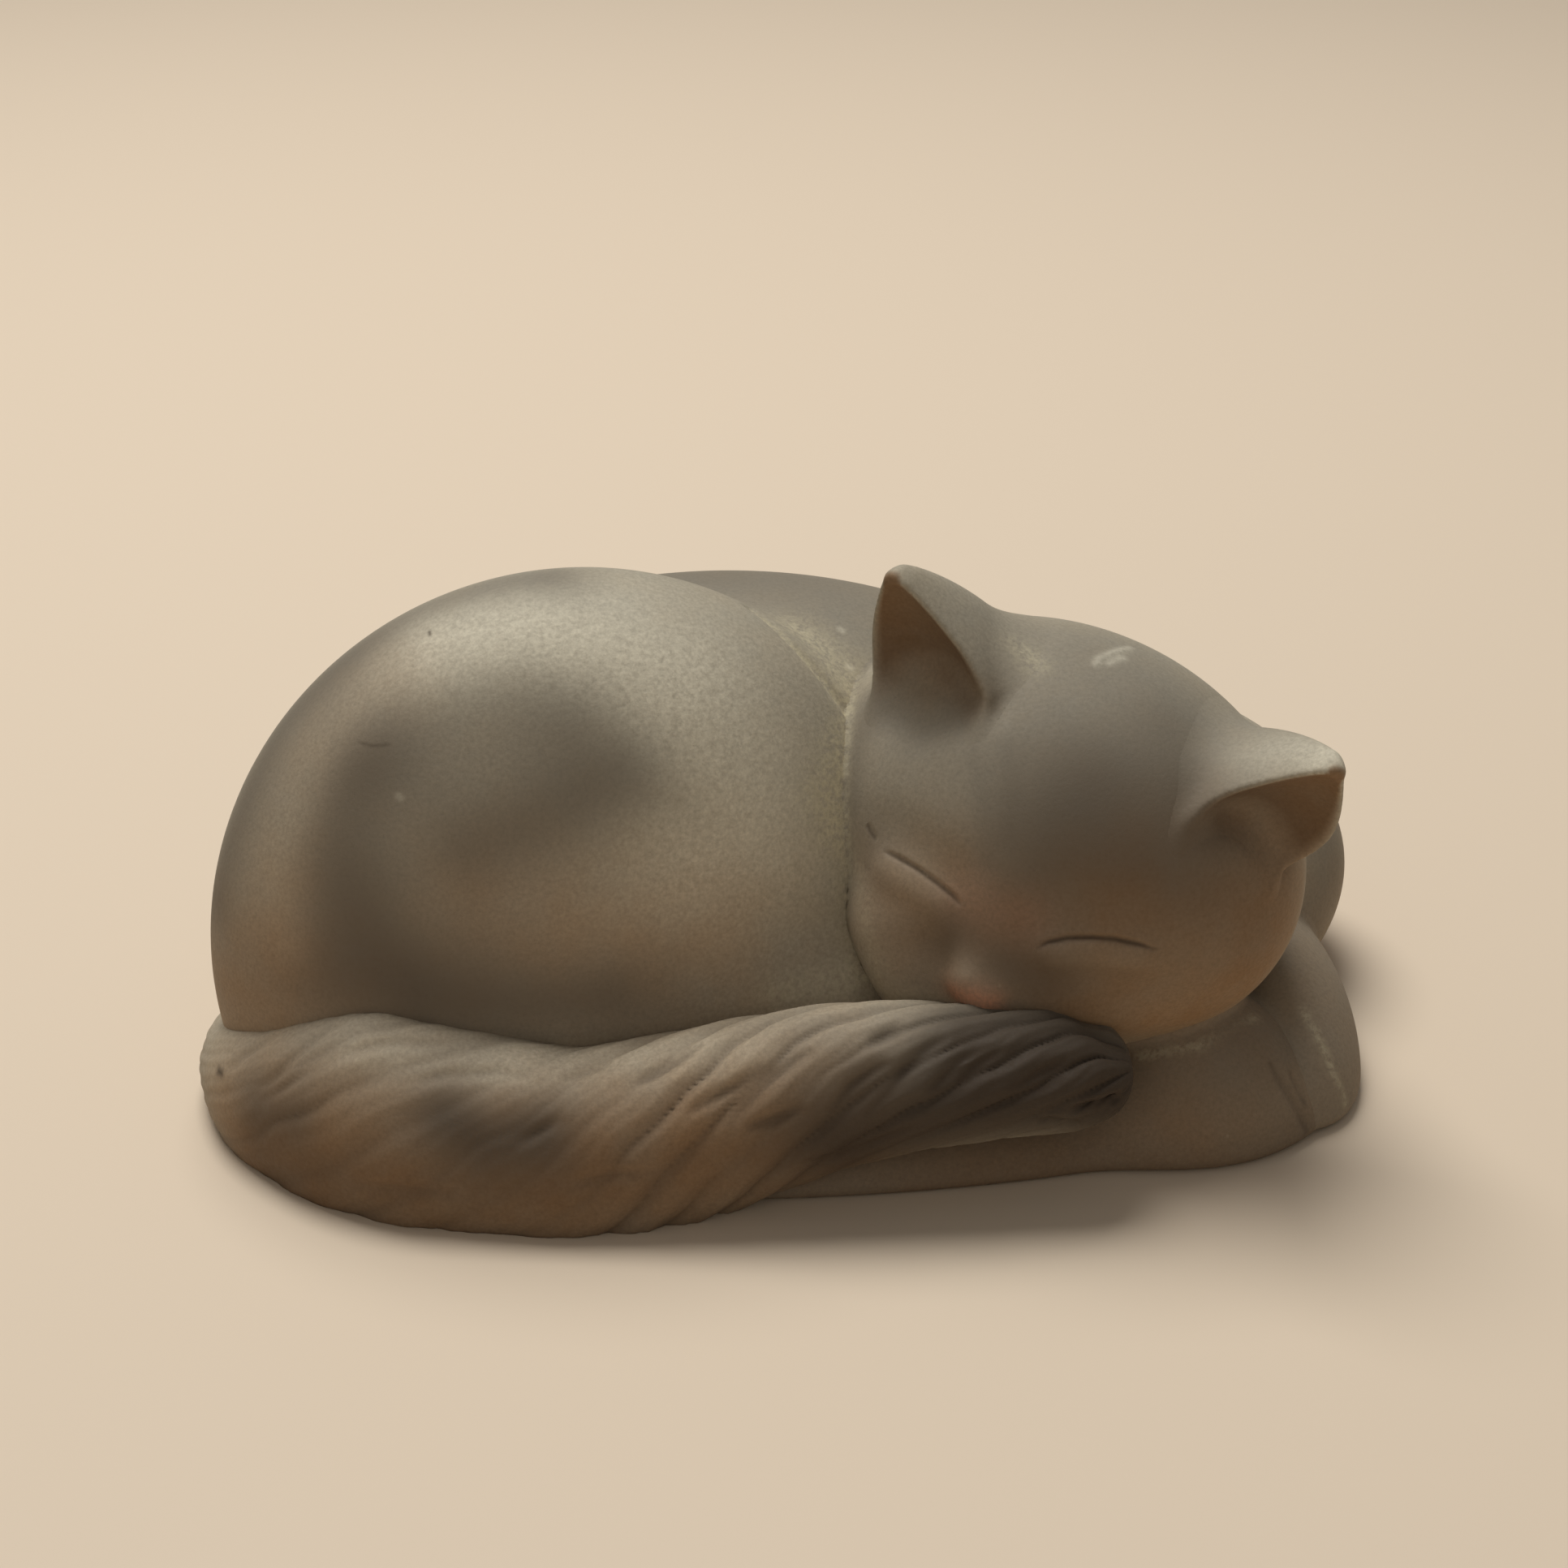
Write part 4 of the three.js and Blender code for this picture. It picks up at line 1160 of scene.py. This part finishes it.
sheet = {"Size X": 1.0, "Size Y": 1.0, "Vertices X": TAIL_RINGS + 1, "Vertices Y": TAIL_AROUND + 1}
sheet = step("GeometryNodeMeshGrid", sheet)
spot = roll.nodes.new("GeometryNodeInputPosition").outputs[0]
spot_x = step("ShaderNodeSeparateXYZ", {0: spot}, 0)
spot_y = step("ShaderNodeSeparateXYZ", {0: spot}, 1)
along = calc("MULTIPLY_ADD", calc("COSINE", calc("MULTIPLY", calc("ADD", spot_x, 0.5), math.pi)), -0.5, 0.5)
around = calc("MULTIPLY", calc("ADD", spot_y, 0.5), 2 * math.pi)
ride_path = roll.nodes.new("GeometryNodeSampleCurve")
ride_path.mode = "FACTOR"
roll.links.new(step("GeometryNodeMeshToCurve", {0: given["Path"]}), ride_path.inputs["Curves"])
roll.links.new(along, ride_path.inputs["Factor"])
forward = ride_path.outputs["Tangent"]
inward = aim("NORMALIZE", aim("CROSS_PRODUCT", (0, 0, 1), forward))
upward = aim("CROSS_PRODUCT", forward, inward)
taper = grade(along, given["Swell"], 1.0, 0.0, 1.0)
deep = grade(along, given["Hidden"], given["Swell"], given["Root depth"], given["Full depth"], "SMOOTHSTEP")
deep = calc("MULTIPLY", between(taper, deep, given["Tip depth"]), 0.5)
tall = grade(along, given["Hidden"], given["Swell"], given["Root rise"], given["Full rise"], "SMOOTHSTEP")
tall = between(taper, tall, given["Tip rise"])
to_end = calc("MINIMUM", along, calc("SUBTRACT", 1.0, along))
to_end = calc("MINIMUM", calc("DIVIDE", calc("MULTIPLY", to_end, given["Length"]), deep), 1.0)
rounding = calc("POWER", calc("MULTIPLY", to_end, calc("SUBTRACT", 2.0, to_end)), TAIL_END_BLUNT)
cosine = calc("COSINE", around)
sine = calc("SINE", around)
run_mm = calc("MULTIPLY", along, given["Length"])
wander = step("ShaderNodeCombineXYZ", {0: calc("MULTIPLY", run_mm, 0.09), 1: cosine, 2: sine})
waver = step("ShaderNodeTexNoise", {"Vector": wander, "Scale": 1.0, "Detail": 2.0})
swing = step("ShaderNodeTexNoise", {"Vector": wander, "Scale": 2.3, "Detail": 1.0})
phase = calc("MULTIPLY", calc("DIVIDE", run_mm, given["Lock spacing"]), 2 * math.pi)
phase = calc("ADD", phase, calc("MULTIPLY", around, given["Locks around"]))
phase = calc("MULTIPLY_ADD", waver, LOCK_WAVER, phase)
ridge = calc("POWER", calc("ABSOLUTE", calc("SINE", calc("MULTIPLY", phase, 0.5))), LOCK_SHARP)
strands = calc("MULTIPLY_ADD", swing, STRAND_SWING, calc("MULTIPLY", phase, 3.0))
strands = calc("MULTIPLY", calc("SINE", strands), STRAND_DEPTH)
cut_depth = calc("MULTIPLY", given["Lock depth"], grade(along, 0.2, 0.62, 0.2, 1.0))
own = step("ShaderNodeCombineXYZ", {0: calc("MULTIPLY", phase, 0.14), 1: calc("MULTIPLY", run_mm, 0.05)})
own = step("ShaderNodeTexNoise", {"Vector": own, "Scale": 1.0, "Detail": 0.0})
cut_depth = calc("MULTIPLY", cut_depth, grade(own, 0.32, 0.62, 0.25, 1.0))
relief = calc("ADD", calc("MULTIPLY", calc("SUBTRACT", ridge, 1.0), cut_depth), strands)
relief = calc("MULTIPLY", relief, grade(cosine, 0.7, 0.95, 1.0, 0.0))
out_in = calc("MULTIPLY", calc("MULTIPLY", calc("ADD", deep, relief), rounding), cosine)
out_up = calc("MULTIPLY", calc("MULTIPLY", calc("ADD", tall, relief), rounding), sine)
place = aim("ADD", ride_path.outputs["Position"], scaled(inward, out_in))
place = aim("ADD", place, scaled(upward, out_up))
grooved = {"Geometry": sheet, "Name": "groove", "Value": relief}
sheet = step("GeometryNodeStoreNamedAttribute", grooved, data_type="FLOAT", domain="POINT")
rolled = step("GeometryNodeSetPosition", {"Geometry": sheet, "Position": place})
rolled = step("GeometryNodeMergeByDistance", {"Geometry": rolled, "Distance": 0.001})
rolled = step("GeometryNodeFlipFaces", {"Mesh": rolled})
rolled = step("GeometryNodeRealizeInstances", {"Geometry": rolled})
rolled = step("GeometryNodeSetMaterial", {"Geometry": rolled, "Material": tail_bisque})
roll.links.new(rolled, roll.nodes.new("NodeGroupOutput").inputs[0])

path_mesh = bpy.data.meshes.new("tail_path")
path_mesh.from_pydata(tail_run.tolist(), [(i, i + 1) for i in range(len(tail_run) - 1)], [])
path_holder = bpy.data.objects.new("tail_path", path_mesh)
bpy.context.collection.objects.link(path_holder)
rolling = path_holder.modifiers.new("rolled_tail", "NODES")
rolling.node_group = roll
for item in roll.interface.items_tree:
    if item.in_out == "INPUT" and item.name in roll_sizes:
        rolling[item.identifier] = float(roll_sizes[item.name])
tail_mesh = bpy.data.meshes.new_from_object(path_holder.evaluated_get(bpy.context.evaluated_depsgraph_get()))
bpy.data.objects.remove(path_holder)
tail_points = np.zeros(len(tail_mesh.vertices) * 3)
tail_mesh.vertices.foreach_get("co", tail_points)
tail_points = tail_points.reshape(-1, 3)
end_gap = np.linalg.norm(tail_points[:, :2] - tail_knots[1][:2], axis=1)
tail_points[:, 2] *= 1 - TAIL_END_DROP * np.exp(-((end_gap / TAIL_END_REACH) ** 2))
tail_faces = [tuple(face.vertices) for face in tail_mesh.polygons]
tail_tree = BVHTree.FromPolygons(tail_points.tolist(), tail_faces)
tail_normals = np.zeros(len(tail_mesh.vertices) * 3)
tail_mesh.vertex_normals.foreach_get("vector", tail_normals)
tail_normals = tail_normals.reshape(-1, 3)
groove = np.zeros(len(tail_mesh.vertices))
tail_mesh.attributes["groove"].data.foreach_get("value", groove)
tail_mesh.attributes.remove(tail_mesh.attributes["groove"])


def seen_on_tail(pixels):
    met = [tail_tree.ray_cast(Vector(CAMERA_SPOT), Vector(way))[0] for way in sight_lines(pixels)]
    return np.array([m for m in met if m is not None])


def on_tail(pixels, radius, strength):
    return spray(tail_points, seen_on_tail(pixels), radius, strength)


def tail_cuts(lines, width, depth, fade):
    return sum(stroke(tail_points, seen_on_tail(line), width, depth, fade) for line in lines.values())


sunk_left = tail_cuts(TAIL_CUTS_LEFT, width=0.55, depth=0.4, fade=0.5)
sunk_right = tail_cuts(TAIL_CUTS_RIGHT, width=0.65, depth=0.5, fade=0.5)
sunk_tip = tail_cuts(TAIL_CUTS_TIP, width=0.5, depth=0.7, fade=0.4)
pressed = stroke(tail_points, seen_on_tail(TAIL_TIP_FLAT), 2.0, 1.1)[:, None] * TIP_PRESS
raised = stroke(tail_points, seen_on_tail(TAIL_HUMP), 5.0, 1.0)[:, None] * (0, 0, 1)
sunk = np.maximum(np.minimum(sunk_left + sunk_right + sunk_tip, 1.0) + 0.5 * groove, 0)
tail_skin = tail_points - tail_normals * sunk[:, None] - pressed + raised
tail_skin[:, 2] = np.maximum(tail_skin[:, 2], 0)
tail_mesh.vertices.foreach_set("co", (tail_skin * MM).ravel())
tail_mesh.update()
cut_lines = [seen_on_tail(line) for line in [*TAIL_CUTS_RIGHT.values(), *TAIL_CUTS_TIP.values()]]
tail_paints = {
    "smoke_and_shade": layer(
        on_tail(TAIL_DARK_LEFT, 3.0, 0.6),
        on_tail(TAIL_LEFT_WASH, 4.5, 0.16),
        on_tail(TAIL_DARK_MIDDLE, 3.4, 0.85),
        on_tail(TAIL_TIP_TOP, 3.0, 0.5),
        on_tail(TAIL_DARK_STRAND, 2.4, 0.45),
        on_tail(TAIL_DARK_TIP, 6.0, 0.9),
        on_tail(TAIL_TIP_END, 6.0, 0.6),
        # Painted shade on the tail's low front.
        on_tail(TAIL_LOW_TAN_AND_SHADE, 5.0, 0.46),
        # Painted shade in the cut grooves, deeper where they are cut deeper.
        0.4 * np.clip(-groove / 0.6, 0, 1),
        0.4 * np.clip(sunk / 0.6, 0, 1) ** 2,
    ),
    # Tan on the tail's low front: partly tan spray and partly painted warm light bounced up from the floor.
    "tan_and_bounce_light": layer(on_tail(TAIL_LOW_TAN_AND_SHADE, 8.0, 0.97), np.full(len(tail_points), TAIL_GREY_TAN)),
    "pale_and_highlight": layer(
        # Painted highlights along the top of the tail, where the light falls.
        on_tail(TAIL_HIGHLIGHT_LEFT, 2.0, 0.5),
        on_tail(TAIL_HIGHLIGHT_MIDDLE, 2.2, 0.45),
        on_tail(TAIL_HIGHLIGHT_EDGE, 1.6, 0.45),
    ),
    "umber_and_shade": layer(
        on_tail(TAIL_PIT, 0.35, 0.8),
        on_tail(TAIL_DARK_TIP, 5.0, 0.42),
        on_tail(TAIL_TIP_END, 6.0, 0.38),
        # Painted shade on the tail's low front.
        on_tail(TAIL_LOW_TAN_AND_SHADE, 4.0, 0.12),
        on_tail(TAIL_TIP_TOP, 3.0, 0.3),
        on_tail(TAIL_TIP_LOW, 3.0, 0.5),
        # Painted shade along the bottom, where the tail meets the floor.
        TAIL_FLOOR_SHADE * np.clip(1 - tail_points[:, 2] / TAIL_FLOOR_SHADE_TOP, 0, 1),
        # Painted shade along the cut lines.
        *[fine_line(tail_points, line, 0.35, 0.3) for line in cut_lines],
    ),
}
tail = paint_piece("rolled_tail", tail_mesh, tail_paints)
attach(tail, "root")
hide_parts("tail")
